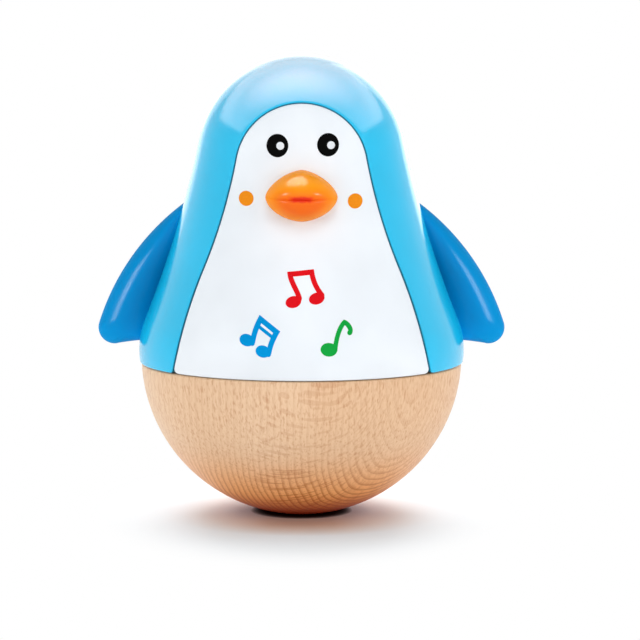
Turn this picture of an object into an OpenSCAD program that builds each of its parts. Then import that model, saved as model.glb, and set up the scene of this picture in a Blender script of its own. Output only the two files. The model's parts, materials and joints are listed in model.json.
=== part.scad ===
// Roly-poly penguin chime toy: a weighted wooden base, a moulded body in two shells and
// a chime inside. Millimetres, +Z up, the face looks along -Y. The origin is the middle
// of the small flat that the toy rests on.

/* [Wooden base] */
// Radius of the turned ball that the base is cut from
base_r = 40.25; // [38:0.25:44]
// Radius of the small flat that the toy rests on
rest_flat_r = 6; // [3:0.5:8]
// Height of the base's flat top above the floor
rim_z = 38; // [35:0.5:39]
// Width of the eased edge round the base's top
rim_ease = 0.6; // [0.2:0.1:1.2]

/* [Body] */
// Height of the crown of the head above the floor
crown_z = 115; // [111:0.5:122]
// Radius of the round head
head_r = 26.1; // [24:0.1:29]
// Radius of the hollow curve of the flanks
waist_r = 270; // [200:5:400]
// Radius of the rounded belly in section
belly_r = 20; // [16:0.5:26]
// Height of the widest ring of the belly above the base's top
belly_rise = 3.3; // [2:0.1:6]
// How far the widest ring stands out past the ball's radius
belly_proud = 0.6; // [0.2:0.1:2]
// Wall thickness of the two shells
wall = 2.3; // [1.8:0.1:2.8]

/* [Face panel] */
// How far the top of the white panel lies below the crown
panel_top_drop = 11; // [8:0.5:14]
// Radius of the round top of the panel's outline
panel_head_r = 16.3; // [14.5:0.1:18]
// Radius of the hollow sides of the panel's outline
panel_waist_r = 133; // [100:1:200]
// How far the panel's lower corners lie inside the ball's radius, seen from the front
panel_foot_in = 8.65; // [7.25:0.05:10.25]
// Radius of the rounded lower sides of the panel's outline
panel_foot_r = 125; // [90:1:160]
// Lean of the panel's sides at the base, from upright (degrees)
panel_foot_lean = 10.2; // [8:0.1:13]
// How far the panel is set back from the hood's surface
panel_step = 0.3; // [0.1:0.05:0.6]
// Width of the seam between the panel and the hood
seam_gap = 0.3; // [0.15:0.05:0.6]
// How far the hood's inner flange reaches behind the panel
lap_w = 4; // [3.4:0.1:5]
// Thickness of that flange
lap_t = 1.5; // [1.2:0.1:1.8]

/* [Beak] */
// Width of the beak across its corners
beak_w = 17.5; // [15:0.1:20]
// Height of the upper bill above the mouth line
bill_up = 6.5; // [5.5:0.1:8]
// Depth of the lower bill below the mouth line
bill_down = 5.9; // [5:0.1:7]
// How far the beak stands out from the panel
beak_len = 9.5; // [7:0.1:12]
// How far the mouth line lies below the middle of the round head
mouth_drop = 7.4; // [5:0.1:10]
// Width of the mouth groove
mouth_gap = 0.8; // [0.5:0.1:1.2]
// Depth of the mouth groove
mouth_depth = 1.1; // [0.6:0.1:1.6]

/* [Wings] */
// Height of the top of a wing's root above the base's top
wing_top_rise = 39.8; // [37:0.2:43]
// How far the wing's tip stands out past the belly
wing_out = 10.45; // [8:0.05:14]
// Height of the middle of the rounded tip above the base's top
wing_tip_rise = 8.3; // [6:0.1:12]
// Radius of the rounded tip
wing_tip_r = 4.1; // [3:0.1:5.5]
// Radius of the wing's long outer edge
wing_edge_r = 60.4; // [50:0.2:75]
// Thickness of the wing along its crest
wing_t = 10.4; // [9:0.2:12]
// How far the wing sits behind the middle of the toy
wing_back = 3; // [1:0.5:6]

/* [Ballast and deck] */
// Width of wood between the ballast's well and the deck's edge
ballast_edge = 15; // [13:0.5:19]
// Height of the ballast disc
ballast_h = 12; // [8:0.5:14]
// Height of the floor of the ballast well above the ground
well_z = 9; // [8:0.5:11]
// Width of the base's flat top left outside the deck plate
deck_edge = 7.25; // [6.65:0.05:8.75]
// Thickness of the deck plate
deck_t = 3; // [2.4:0.1:4]
// Wall thickness of the deck's neck
neck_t = 2.5; // [2:0.1:3]
// Height of the neck's groove above the base's top
groove_z = 2.3; // [1.8:0.1:3]
// Height of the groove itself
groove_h = 2.4; // [2:0.1:3]
// How far the neck's lip overhangs the groove
lip_w = 2.2; // [1.6:0.1:2.4]
// Thickness of that lip
lip_t = 2; // [1.5:0.1:3]

/* [Chime] */
// Diameter of a tone pin
tone_pin_d = 2.5; // [1.8:0.1:2.8]
// Length of the shortest tone pin above the block
tone_short = 17; // [15:0.5:19]
// Extra length of each next tone pin
tone_step = 1.8; // [1:0.1:2.2]
// Height of the tone block
tone_block_h = 7; // [5.5:0.5:8]
// Width of the tone block outside the ring of pins
tone_block_edge = 2.3; // [1.8:0.1:2.4]
// Radius of the brass ball that strikes the pins
ball_r = 5.7; // [4.8:0.1:5.8]
// Gap between the ball and the tone block
ball_lift = 3.3; // [2.5:0.1:5]
// Distance from the clapper's pin to the middle of the ball
stem_len = 21; // [20:0.5:22]
// Distance between the two crossed pins of the link
link_len = 8; // [7.4:0.1:9]
// Diameter of the clapper's stem
stem_d = 2.4; // [2:0.1:2.6]
// Diameter of the two pivot pins
pivot_d = 2; // [1.6:0.1:2.2]
// Thickness of a bridge leg
leg_t = 2.8; // [2.2:0.1:3]
// Length of a bridge foot outside its leg
foot_len = 7.3; // [6.7:0.1:7.9]
// Width of the bridge from front to back
bridge_w = 8; // [7:0.5:9]

/* [Screws and fits] */
// Diameter of the wood screws' shanks
wood_screw_d = 3; // [2.5:0.1:3.5]
// Length of the wood screws in the base
wood_screw_bite = 11; // [8:0.5:14]
// Diameter of the small screws' shanks
small_screw_d = 2.6; // [2.2:0.1:3]
// Length of the small screws in their bosses or wings
small_screw_bite = 6; // [4:0.5:7]
// Radial gap round a pin that something turns on
running_fit = 0.05; // [0.02:0.01:0.1]
// Radial gap round a piece that is set in place
set_fit = 0.1; // [0.05:0.05:0.2]

/* [Hidden] */

$fn = 64;
// Greatest distance between a curve and the straight steps that stand for it
curve_tol = 0.02;
// Overlap that lets a cut pass cleanly through a face
cut = 1;
// Depth by which a rib or boss is rooted in the wall that carries it
bond = 0.5;

// Base: the ball's centre lies so that its flat is at the floor
ball_z = sqrt(base_r * base_r - rest_flat_r * rest_flat_r);

// Body: three arcs that run into each other, from the crown to the base
belly_max_r = base_r + belly_proud;
head_c = [0, crown_z - head_r];
belly_c = [belly_max_r - belly_r, rim_z + belly_rise];
body_waist_c = waist_centre(head_c, head_r, belly_c, belly_r, waist_r);

// Panel outline, seen from the front: the same three kinds of arc
panel_top_z = crown_z - panel_top_drop;
panel_head_c = [0, panel_top_z - panel_head_r];
panel_foot_c = [base_r - panel_foot_in - panel_foot_r * cos(panel_foot_lean),
                rim_z - panel_foot_r * sin(panel_foot_lean)];
panel_waist_c = waist_centre(panel_head_c, panel_head_r, panel_foot_c, panel_foot_r, panel_waist_r);

// Deck and ballast, let into the base
deck_r = base_r - deck_edge;
ballast_r = deck_r - ballast_edge;

// Chime heights, stacked up from the deck
block_top_z = rim_z + tone_block_h;
ball_mid_z = block_top_z + ball_lift + ball_r;
clapper_pin_z = ball_mid_z + stem_len;
link_pin_z = clapper_pin_z + link_len;

// Link and bridge: thicknesses along the pins and the rounds about them
eye_wall = 1.4;
lug_wall = 1.6;
eye_r = pivot_d / 2 + eye_wall;
lug_r = pivot_d / 2 + lug_wall;
link_t = 4;
lug_t = 2.3;
lug_gap = 0.3;
eye_t = 3;
fork_gap = 0.2;
fork_t = 1.8;
web_gap = 0.8;
web_t = 1.2;
fork_half = eye_t / 2 + fork_gap + fork_t;
bar_gap = 0.7;
bar_t = 3;
bar_z = link_pin_z + lug_r + bar_gap;
bridge_top_z = bar_z + bar_t;
foot_t = 3;
foot_gap = 0.5;
leg_gap = 0.3;

// Across the deck, inwards from its neck: a foot, its leg, the tone block and the ring of pins
foot_reach = sqrt(pow(deck_r - neck_t - foot_gap, 2) - pow(bridge_w / 2, 2));
leg_out = foot_reach - foot_len;
leg_in = leg_out - leg_t;
block_r = leg_in - leg_gap;
bar_room = 2.4;
bar_out = head_r - wall - bar_room;
shoulder = leg_t * 1.5;
tone_ring_r = block_r - tone_block_edge;
tone_pins = 8;

// Screws: heads and places
head_k = 1.9;
wood_head_d = wood_screw_d * head_k;
small_head_d = small_screw_d * head_k;
small_head_h = 1.8;
foot_screw_x = leg_out + foot_len / 2;
deck_screw_r = foot_screw_x;
deck_screw_angles = [90, 270];
block_screw_share = 0.53;
block_screw_r = tone_ring_r * block_screw_share;
block_screw_angles = [90, 210, 330];
deck_boss_wall = 2;
deck_boss_r = small_screw_d / 2 + deck_boss_wall;
deck_boss_h = small_screw_bite;

// Shell catch rib and the neck that it locks into
neck_z = rim_z + groove_z;
rib_fit = 0.2;
rib_in_r = deck_r + rib_fit + set_fit;
lap_fit = 0.15;

// Panel pegs: sizes, and their heights above the base's top and below the panel's round top
peg_d = 2.4;
peg_len = 3.2;
peg_low_rise = 11;
peg_high_drop = 1;
peg_heights = [rim_z + peg_low_rise, panel_head_c.y - peg_high_drop];

// Wing roots and beak seats
mouth_z = head_c.y - mouth_drop;
wing_top_z = rim_z + wing_top_rise;
wing_tip_z = rim_z + wing_tip_rise;
wing_screw_drop = 3;
wing_screw_z = (wing_top_z + wing_tip_z) / 2 - wing_screw_drop;
wing_boss_r = 4.5;
wing_boss_len = 3.5;
wing_pin_d = 3;
wing_pin_rise = 8;
wing_pin_in = 1.5;
wing_pin_out = 3.5;
beak_boss_r = 4.5;
beak_boss_len = 3.5;
beak_pin_d = 2.6;
beak_pin_x = beak_w * 0.29;

// Points along an arc about c from angle a to angle b, stepped finely enough for its radius
function arc(c, r, a, b) =
    let (turn = 2 * acos(1 - curve_tol / r), n = max(3, ceil(abs(b - a) / turn)))
    [for (i = [0 : n]) let (t = a + (b - a) * i / n) c + r * [cos(t), sin(t)]];

// Centre, on the outer side, of the arc of radius w that touches two rounds from outside
function waist_centre(ca, ra, cb, rb, w) =
    let (d = norm(cb - ca), u = (cb - ca) / d, p = ra + w, q = rb + w,
         x = (d * d + p * p - q * q) / (2 * d))
    ca + u * x + [-u.y, u.x] * sqrt(p * p - x * x);

// Angle of the line from a to b
function bearing(a, b) = atan2(b.y - a.y, b.x - a.x);

// Half outline of a bell from its top to foot_z, moved inwards by inset
function bell(head_c, head_r, waist_c, waist_r, foot_c, foot_r, foot_z, inset) =
    let (a = bearing(head_c, waist_c), b = bearing(foot_c, waist_c),
         r = foot_r - inset, end = asin((foot_z - foot_c.y) / r))
    concat(arc(head_c, head_r - inset, 90, a),
           arc(waist_c, waist_r + inset, 180 + a, 180 + b),
           arc(foot_c, r, b, end));

function body_side(foot_z, inset) =
    bell(head_c, head_r, body_waist_c, waist_r, belly_c, belly_r, foot_z, inset);
function panel_side(foot_z, inset) =
    bell(panel_head_c, panel_head_r, panel_waist_c, panel_waist_r,
         panel_foot_c, panel_foot_r, foot_z, inset);

// Half width at height z of a bell given by its three rounds, moved inwards by inset
function bell_at(z, head_c, head_r, waist_c, waist_r, foot_c, foot_r, inset) =
    let (a = bearing(head_c, waist_c), b = bearing(foot_c, waist_c),
         top = head_c.y + head_r * sin(a), low = foot_c.y + foot_r * sin(b))
    z > top ? sqrt(pow(head_r - inset, 2) - pow(z - head_c.y, 2))
    : z > low ? waist_c.x - sqrt(pow(waist_r + inset, 2) - pow(z - waist_c.y, 2))
    : foot_c.x + sqrt(pow(foot_r - inset, 2) - pow(z - foot_c.y, 2));

function body_at(z, inset = 0) =
    bell_at(z, head_c, head_r, body_waist_c, waist_r, belly_c, belly_r, inset);
function panel_at(z) =
    bell_at(z, panel_head_c, panel_head_r, panel_waist_c, panel_waist_r,
            panel_foot_c, panel_foot_r, 0);

// Drops points that repeat the one before, where two arcs meet
function tidy(p) = [for (i = [0 : len(p) - 1]) if (i == 0 || norm(p[i] - p[i - 1]) > 0.001) p[i]];

// The body's form as a solid of revolution, moved inwards by inset and open to below at its foot
module body_form(inset = 0, below = 0) {
    side = tidy(body_side(rim_z, inset));
    foot = side[len(side) - 1];
    rotate_extrude()
        polygon(concat(side, [[foot.x, rim_z - below], [0, rim_z - below]]));
}

// Prism of the panel's outline towards the front, moved inwards by inset
module panel_prism(inset = 0) {
    side = tidy(panel_side(rim_z - cut, inset));
    n = len(side);
    other = [for (i = [n - 1 : -1 : 1]) [-side[i].x, side[i].y]];
    rotate([90, 0, 0])
        linear_extrude(height = belly_max_r + cut)
            polygon(concat(side, other));
}

// Cylinder along +X or -Y that starts at the given point
module along_x(d, h) { rotate([0, 90, 0]) cylinder(d = d, h = h); }
module along_front(d, h) { rotate([90, 0, 0]) cylinder(d = d, h = h); }

// Screw with its head's top at z = 0 and a countersunk or a flat head
module countersunk(d, head_d, len) {
    rise = (head_d - d) / 2;
    translate([0, 0, -rise]) cylinder(d1 = d, d2 = head_d, h = rise);
    translate([0, 0, -len]) cylinder(d = d, h = len - rise / 2);
}
module pan_head(d, head_d, head_h, len) {
    translate([0, 0, -head_h]) cylinder(d = head_d, h = head_h);
    translate([0, 0, -head_h - len]) cylinder(d = d, h = len + head_h / 2);
}

module wooden_base() {
    color("#DDB489") difference() {
        translate([0, 0, ball_z]) sphere(r = base_r, $fn = 128);
        translate([0, 0, rim_z]) cylinder(r = base_r + cut, h = 2 * base_r);
        translate([0, 0, -base_r]) cylinder(r = base_r, h = base_r);
        rim_easing();
        translate([0, 0, rim_z - deck_t]) cylinder(r = deck_r + set_fit, h = deck_t + cut);
        translate([0, 0, well_z]) cylinder(r = ballast_r + set_fit, h = rim_z);
        translate([0, 0, well_z - small_screw_bite])
            cylinder(d = wood_screw_d + 2 * set_fit, h = small_screw_bite + cut);
        deck_screw_places()
            translate([0, 0, -deck_t - wood_screw_bite])
                cylinder(d = wood_screw_d + 2 * set_fit, h = wood_screw_bite + cut);
        foot_screw_places()
            translate([0, 0, -foot_t - deck_t - wood_screw_bite])
                cylinder(d = wood_screw_d + 2 * set_fit, h = wood_screw_bite + cut);
    }
}

// Bevel round the base's top edge
module rim_easing() {
    edge_r = sqrt(base_r * base_r - pow(rim_z - ball_z, 2));
    rotate_extrude()
        polygon([[edge_r - rim_ease, rim_z], [edge_r + cut, rim_z - rim_ease - cut],
                 [edge_r + cut, rim_z]]);
}

module deck_screw_places() {
    for (a = deck_screw_angles)
        rotate([0, 0, a]) translate([deck_screw_r, 0, rim_z]) children();
}

module foot_screw_places() {
    for (side = [-1, 1])
        translate([side * foot_screw_x, 0, rim_z + foot_t]) children();
}

module block_screw_places() {
    for (a = block_screw_angles)
        rotate([0, 0, a]) translate([block_screw_r, 0, block_top_z]) children();
}

module ballast_weight() {
    color("#8C9094") difference() {
        translate([0, 0, well_z]) cylinder(r = ballast_r, h = ballast_h);
        translate([0, 0, well_z + ballast_h])
            countersunk(wood_screw_d + 2 * set_fit, wood_head_d + 2 * set_fit, ballast_h + cut);
        translate([0, 0, well_z + ballast_h]) cylinder(d = wood_head_d + 2 * set_fit, h = cut);
    }
}

module ballast_screw() {
    color("#B9BCBE")
        translate([0, 0, well_z + ballast_h])
            countersunk(wood_screw_d, wood_head_d, ballast_h + small_screw_bite - set_fit);
}

module deck_plate() {
    lip_z = neck_z + groove_h;
    neck_in_r = deck_r - neck_t;
    color("#E9ECEF") difference() {
        union() {
            rotate_extrude()
                polygon([[0, rim_z - deck_t], [deck_r, rim_z - deck_t], [deck_r, lip_z],
                         [deck_r + lip_w, lip_z], [deck_r + lip_w, lip_z + lip_t],
                         [neck_in_r, lip_z + lip_t], [neck_in_r, rim_z], [0, rim_z]]);
            block_screw_places()
                translate([0, 0, -tone_block_h - deck_t - deck_boss_h])
                    cylinder(r = deck_boss_r, h = deck_boss_h + bond);
        }
        deck_screw_places() {
            countersunk(wood_screw_d + 2 * set_fit, wood_head_d + 2 * set_fit, deck_t + cut);
            cylinder(d = wood_head_d + 2 * set_fit, h = cut);
        }
        foot_screw_places()
            translate([0, 0, -foot_t - deck_t - cut])
                cylinder(d = wood_screw_d + 2 * set_fit, h = deck_t + 2 * cut);
        block_screw_places()
            translate([0, 0, -tone_block_h - deck_t - deck_boss_h - cut])
                cylinder(d = small_screw_d + 2 * set_fit, h = deck_boss_h + deck_t + 2 * cut);
    }
}

module deck_screws() {
    color("#B9BCBE")
        deck_screw_places() countersunk(wood_screw_d, wood_head_d, deck_t + wood_screw_bite - set_fit);
}

module bridge_screws() {
    color("#B9BCBE")
        foot_screw_places()
            translate([0, 0, small_head_h])
                pan_head(wood_screw_d, wood_head_d, small_head_h,
                         foot_t + deck_t + wood_screw_bite - set_fit);
}

// Half of an arch from the front: a leg from its foot at low to a bar at top, with a cut shoulder
function half_arch(foot_x, bar_x, low, top) =
    [[foot_x, low], [bar_x, top - shoulder], [bar_x - shoulder, top]];
function mirrored(p) = concat(p, [for (i = [len(p) - 1 : -1 : 0]) [-p[i].x, p[i].y]]);

// Outline of the bridge from the front: two legs that lean in to the bar, and their feet
module bridge_outline() {
    difference() {
        union() {
            polygon(mirrored(half_arch(leg_out, bar_out, rim_z, bridge_top_z)));
            for (side = [-1, 1])
                translate([side * (leg_out + foot_len / 2 - bond / 2), rim_z + foot_t / 2])
                    square([foot_len + bond, foot_t], center = true);
        }
        polygon(mirrored(half_arch(leg_in, bar_out - leg_t, rim_z - cut, bar_z)));
    }
}

module bridge() {
    color("#D7DBE0") difference() {
        union() {
            translate([0, bridge_w / 2, 0])
                rotate([90, 0, 0]) linear_extrude(height = bridge_w) bridge_outline();
            for (side = [-1, 1])
                translate([side * (link_t / 2 + lug_gap + lug_t / 2) - lug_t / 2, 0, link_pin_z]) {
                    along_x(2 * lug_r, lug_t);
                    translate([0, -lug_r, 0]) cube([lug_t, 2 * lug_r, bar_z - link_pin_z + bond]);
                }
        }
        translate([-leg_in / 2, 0, link_pin_z]) along_x(pivot_d, leg_in);
        foot_screw_places()
            translate([0, 0, -foot_t - cut])
                cylinder(d = wood_screw_d + 2 * set_fit, h = foot_t + 2 * cut);
    }
}

module tone_block() {
    color("#9EA3A8") difference() {
        translate([0, 0, rim_z]) cylinder(r = block_r, h = tone_block_h);
        for (i = [1 : tone_pins])
            tone_place(i) translate([0, 0, -tone_block_h / 2]) cylinder(d = tone_pin_d, h = tone_block_h);
        block_screw_places()
            translate([0, 0, -tone_block_h - cut])
                cylinder(d = small_screw_d + 2 * set_fit, h = tone_block_h + 2 * cut);
        block_screw_places()
            translate([0, 0, -small_head_h]) cylinder(d = small_head_d + 2 * set_fit, h = small_head_h + cut);
    }
}

module tone_block_screws() {
    color("#B9BCBE")
        block_screw_places()
            pan_head(small_screw_d, small_head_d, small_head_h,
                     tone_block_h - small_head_h + deck_t + deck_boss_h);
}

// Places of the tone pins: between the legs and never in line with them
module tone_place(i) {
    rotate([0, 0, (i - 0.5) * 360 / tone_pins])
        translate([tone_ring_r, 0, block_top_z]) children();
}

// A tone pin, seated half way down the block and longer from one to the next
module tone_pin(i) {
    color("#C9CDD1")
        tone_place(i)
            translate([0, 0, -tone_block_h / 2])
                cylinder(d = tone_pin_d, h = tone_block_h / 2 + tone_short + (i - 1) * tone_step);
}

module link_pin() {
    half = link_t / 2 + lug_gap + lug_t;
    color("#B9BCBE") translate([-half, 0, link_pin_z]) along_x(pivot_d, 2 * half);
}

// Toggle: an eye on the upper pin and a fork round the clapper's eye, on crossed axes
module swing_link() {
    web_z = clapper_pin_z + eye_r + web_gap;
    color("#3E8FCB") difference() {
        union() {
            translate([-link_t / 2, 0, link_pin_z]) along_x(2 * eye_r, link_t);
            translate([-link_t / 2, -eye_r, web_z]) cube([link_t, 2 * eye_r, link_pin_z - web_z]);
            translate([-link_t / 2, -fork_half, clapper_pin_z])
                cube([link_t, 2 * fork_half, web_z - clapper_pin_z + web_t]);
            translate([0, fork_half, clapper_pin_z]) along_front(link_t, 2 * fork_half);
        }
        translate([-link_t, 0, link_pin_z]) along_x(pivot_d + 2 * running_fit, 2 * link_t);
        translate([-link_t, -eye_t / 2 - fork_gap, clapper_pin_z - link_t])
            cube([2 * link_t, eye_t + 2 * fork_gap, web_z - clapper_pin_z + link_t]);
        translate([0, fork_half + cut, clapper_pin_z]) along_front(pivot_d, 2 * fork_half + 2 * cut);
    }
}

module clapper_pin() {
    color("#B9BCBE") translate([0, fork_half, clapper_pin_z]) along_front(pivot_d, 2 * fork_half);
}

module clapper_stem() {
    color("#C9CDD1") difference() {
        union() {
            translate([0, eye_t / 2, clapper_pin_z]) along_front(2 * eye_r, eye_t);
            translate([0, 0, ball_mid_z]) cylinder(d = stem_d, h = stem_len - pivot_d);
        }
        translate([0, eye_t / 2 + cut, clapper_pin_z])
            along_front(pivot_d + 2 * running_fit, eye_t + 2 * cut);
    }
}

module clapper_ball() {
    color("#C8A24A") difference() {
        translate([0, 0, ball_mid_z]) sphere(r = ball_r);
        translate([0, 0, ball_mid_z]) cylinder(d = stem_d, h = ball_r + cut);
    }
}

// Inward rib of the shells that locks under the neck's lip
module catch_rib() {
    rotate_extrude()
        translate([rib_in_r, neck_z + rib_fit])
            square([belly_max_r - wall + bond - rib_in_r, groove_h - 2 * rib_fit]);
}

// Places of the panel's pegs: behind its edge, where the hood's flange laps it
module peg_places() {
    for (z = peg_heights)
        for (side = [-1, 1]) {
            x = panel_at(z) - lap_w / 2;
            translate([side * x, -sqrt(pow(body_at(z, wall), 2) - x * x), z]) children();
        }
}

// Flange of the hood that laps behind the panel's edge
module lap_flange() {
    difference() {
        intersection() {
            difference() {
                body_form(wall - bond);
                body_form(wall + lap_fit + lap_t, cut);
            }
            difference() {
                panel_prism(-lap_w / 2);
                panel_prism(lap_w);
            }
        }
        difference() {
            panel_prism(-seam_gap / 2);
            body_form(wall + lap_fit);
        }
        peg_places()
            translate([0, peg_len + cut, 0]) along_front(peg_d + 2 * set_fit, 2 * peg_len + 2 * cut);
    }
}

// Places of the wings' screws, on both flanks, turned so that +X points outwards
module wing_places() {
    for (side = [0, 1])
        mirror([side, 0, 0])
            translate([body_at(wing_screw_z), wing_back, wing_screw_z]) children();
}

// Places of a wing's two locating pins, each at its own height on the left flank
module wing_pin_places() {
    for (rise = [-wing_pin_rise, wing_pin_rise])
        translate([body_at(wing_screw_z + rise), wing_back, wing_screw_z + rise]) children();
}

module back_shell() {
    wall_x = wall + wing_boss_len;
    color("#4FC3EE") difference() {
        union() {
            difference() {
                union() {
                    difference() {
                        body_form();
                        body_form(wall, cut);
                    }
                    catch_rib();
                }
                panel_prism(-seam_gap / 2);
            }
            lap_flange();
            intersection() {
                wing_places() translate([-wall_x, 0, 0]) along_x(2 * wing_boss_r, wall_x);
                body_form(wall / 2);
            }
        }
        wing_places()
            translate([-wall_x - cut, 0, 0]) along_x(small_screw_d + 2 * set_fit, 2 * wall_x);
        for (side = [0, 1])
            mirror([side, 0, 0])
                wing_pin_places()
                    translate([-wall_x, 0, 0]) along_x(wing_pin_d + 2 * set_fit, 2 * wall_x);
    }
}

// Places of the beak's screw and pins, at the panel's surface, turned so that the face looks along -Y
module beak_place() {
    translate([0, -body_at(mouth_z, panel_step), mouth_z]) children();
}

module face_shell() {
    boss_y = wall - panel_step + beak_boss_len;
    color("#F4F8FD") difference() {
        union() {
            intersection() {
                difference() {
                    body_form(panel_step);
                    body_form(wall, cut);
                }
                panel_prism(seam_gap / 2);
            }
            intersection() {
                catch_rib();
                panel_prism(lap_w + rib_fit);
                translate([0, 0, rim_z]) cylinder(r = belly_max_r - wall / 2, h = crown_z);
            }
            intersection() {
                union() {
                    peg_places() translate([0, peg_len, 0]) along_front(peg_d, peg_len + wall);
                    beak_place() translate([0, boss_y, 0]) along_front(2 * beak_boss_r, boss_y);
                }
                body_form(wall / 2);
            }
        }
        beak_place() {
            translate([0, boss_y + cut, 0]) along_front(small_screw_d + 2 * set_fit, 2 * boss_y);
            for (side = [-1, 1])
                translate([side * beak_pin_x, boss_y, 0]) along_front(beak_pin_d + 2 * set_fit, 2 * boss_y);
        }
    }
}

// Beak as a loft: rings of a rounded almond that shrink along a quarter ellipse to the tip
beak_rings = 12;
beak_sides = 36;
almond = 0.9;
beak_root = 3;
function lean_power(v, p) = sign(v) * pow(abs(v), p);
function beak_ring(k) =
    let (t = 90 * k / beak_rings, grow = cos(t))
    [for (i = [0 : beak_sides - 1])
        let (a = 360 * i / beak_sides, s = sin(a))
        [grow * beak_w / 2 * lean_power(cos(a), 1 / almond),
         -beak_len * sin(t),
         grow * (s > 0 ? bill_up : bill_down) * lean_power(s, 1 / almond)]];

module beak_form() {
    rings = concat([[for (p = beak_ring(0)) [p.x, beak_root, p.z]]],
                   [for (k = [0 : beak_rings - 1]) beak_ring(k)]);
    n = len(rings);
    points = concat([for (r = rings) for (p = r) p], [[0, beak_root, 0], [0, -beak_len, 0]]);
    back = n * beak_sides;
    tip = back + 1;
    sides = [for (k = [0 : n - 2]) for (i = [0 : beak_sides - 1])
        let (a = k * beak_sides + i, b = k * beak_sides + (i + 1) % beak_sides)
        [a, a + beak_sides, b + beak_sides, b]];
    ends = [for (i = [0 : beak_sides - 1]) let (j = (i + 1) % beak_sides, last = (n - 1) * beak_sides)
        each [[i, j, back], [last + j, last + i, tip]]];
    polyhedron(points, concat(sides, ends), convexity = 4);
}

// Groove of the mouth, a slot that follows the beak's plan
module mouth_slot() {
    translate([0, 0, -mouth_gap / 2])
        linear_extrude(height = mouth_gap)
            difference() {
                translate([-beak_w, -beak_len - cut]) square([2 * beak_w, beak_len + cut]);
                scale([beak_w / 2 - mouth_depth, beak_len - mouth_depth]) circle(r = 1);
            }
}

module beak() {
    color("#FAA21B") difference() {
        union() {
            difference() {
                beak_place() {
                    difference() {
                        beak_form();
                        mouth_slot();
                    }
                }
                body_form(panel_step);
            }
            beak_place()
                for (side = [-1, 1])
                    translate([side * beak_pin_x, wall, 0]) along_front(beak_pin_d, wall + beak_len / 3);
        }
        beak_place()
            translate([0, cut, 0]) along_front(small_screw_d + 2 * set_fit, small_screw_bite + cut);
    }
}

module beak_screw() {
    boss_y = wall - panel_step + beak_boss_len;
    color("#B9BCBE")
        beak_place()
            translate([0, boss_y + small_head_h, 0]) rotate([-90, 0, 0])
                pan_head(small_screw_d, small_head_d, small_head_h, boss_y + small_screw_bite - set_fit);
}

// Wing outline from the front: long outer edge, rounded tip and lower edge back to the flank
wing_root = 2.5;
wing_root_over = 0.6;
wing_root_rise = 2.2;
wing_heel_rise = 1.1;
wing_heel_bow = 0.5;
wing_reach = belly_max_r + wing_out;
wing_tip_c = [wing_reach - wing_tip_r, wing_tip_z];
wing_top = [body_at(wing_top_z), wing_top_z];
wing_edge_c = edge_centre(wing_top, wing_edge_r, wing_tip_c, wing_edge_r - wing_tip_r);
wing_steps = 30;
wing_roll = 5;
wing_slope = 3;
wing_crest = 0.56;
wing_thin = 0.64;

// Centre, on the inner lower side, of a circle through a with radius ra at distance rb from b
function edge_centre(a, ra, b, rb) =
    let (d = norm(b - a), u = (b - a) / d, x = (d * d + ra * ra - rb * rb) / (2 * d))
    a + u * x - [-u.y, u.x] * sqrt(ra * ra - x * x);

// Outline points from inside the flank at the top, round the tip, to inside the flank below
function wing_outline() =
    let (a = bearing(wing_edge_c, wing_top), b = bearing(wing_edge_c, wing_tip_c),
         low_z = wing_tip_z - wing_tip_r, in_x = body_at(low_z + wing_heel_rise) - wing_root)
    tidy(concat(arc(wing_edge_c, wing_edge_r, a + 1.8, b),
                arc(wing_tip_c, wing_tip_r, b, -95),
                [for (t = [0.2 : 0.2 : 1])
                    let (x = (1 - t) * wing_tip_c.x + t * in_x)
                    [x, low_z + wing_heel_rise * t + wing_heel_bow * t * (1 - t)]]));

// Root line inside the flank: the point that belongs to step t of the outline
function wing_root_point(t) =
    let (high = wing_top_z + wing_root_over, low = wing_tip_z - wing_tip_r + wing_root_rise,
         z = high + (low - high) * t)
    [body_at(z) - wing_root, z];

// Half thickness of the wing's crest along its length
function wing_half(t) = wing_t / 2 * pow(sin(180 * (0.08 + 0.72 * t)), 0.7);

// Half section of the wing from its edge to its root, as shares of reach and half thickness:
// a quarter round from the edge in to the crest, then a slope that thins towards the root
wing_rise = concat(
    [for (k = [0 : wing_roll]) let (f = 90 * k / wing_roll)
        [wing_crest + (1 - wing_crest) * cos(f), sin(f)]],
    [for (k = [1 : wing_slope]) let (v = k / wing_slope)
        [wing_crest * (1 - v), 1 - (1 - wing_thin) * v * v]]);
wing_section = concat([for (k = [wing_roll + wing_slope : -1 : 1]) [wing_rise[k].x, -wing_rise[k].y]],
                      wing_rise);
wing_sides = len(wing_section) - 1;

module wing_form() {
    line = wing_outline();
    n = len(line);
    along = [for (i = [0 : n - 1])
        norm(line[i] - line[0]) / (norm(line[i] - line[0]) + norm(line[n - 1] - line[i]))];
    points = [for (i = [0 : n - 1])
        let (q = wing_root_point(along[i]), o = line[i], h = wing_half(along[i]))
        for (k = [0 : wing_sides])
            let (p = q + (o - q) * wing_section[k].x)
            [p.x, h * wing_section[k].y, p.y]];
    m = wing_sides + 1;
    skin = [for (i = [0 : n - 2]) for (k = [0 : wing_sides - 1])
        let (a = i * m + k)
        each [[a, a + 1, a + m], [a + 1, a + m + 1, a + m]]];
    root = [for (i = [0 : n - 2]) let (a = i * m, b = a + wing_sides)
        each [[a, a + m, b], [b, a + m, b + m]]];
    ends = [[for (k = [wing_sides : -1 : 0]) k],
            [for (k = [0 : wing_sides]) (n - 1) * m + k]];
    polyhedron(points, concat(skin, root, ends), convexity = 4);
}

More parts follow.
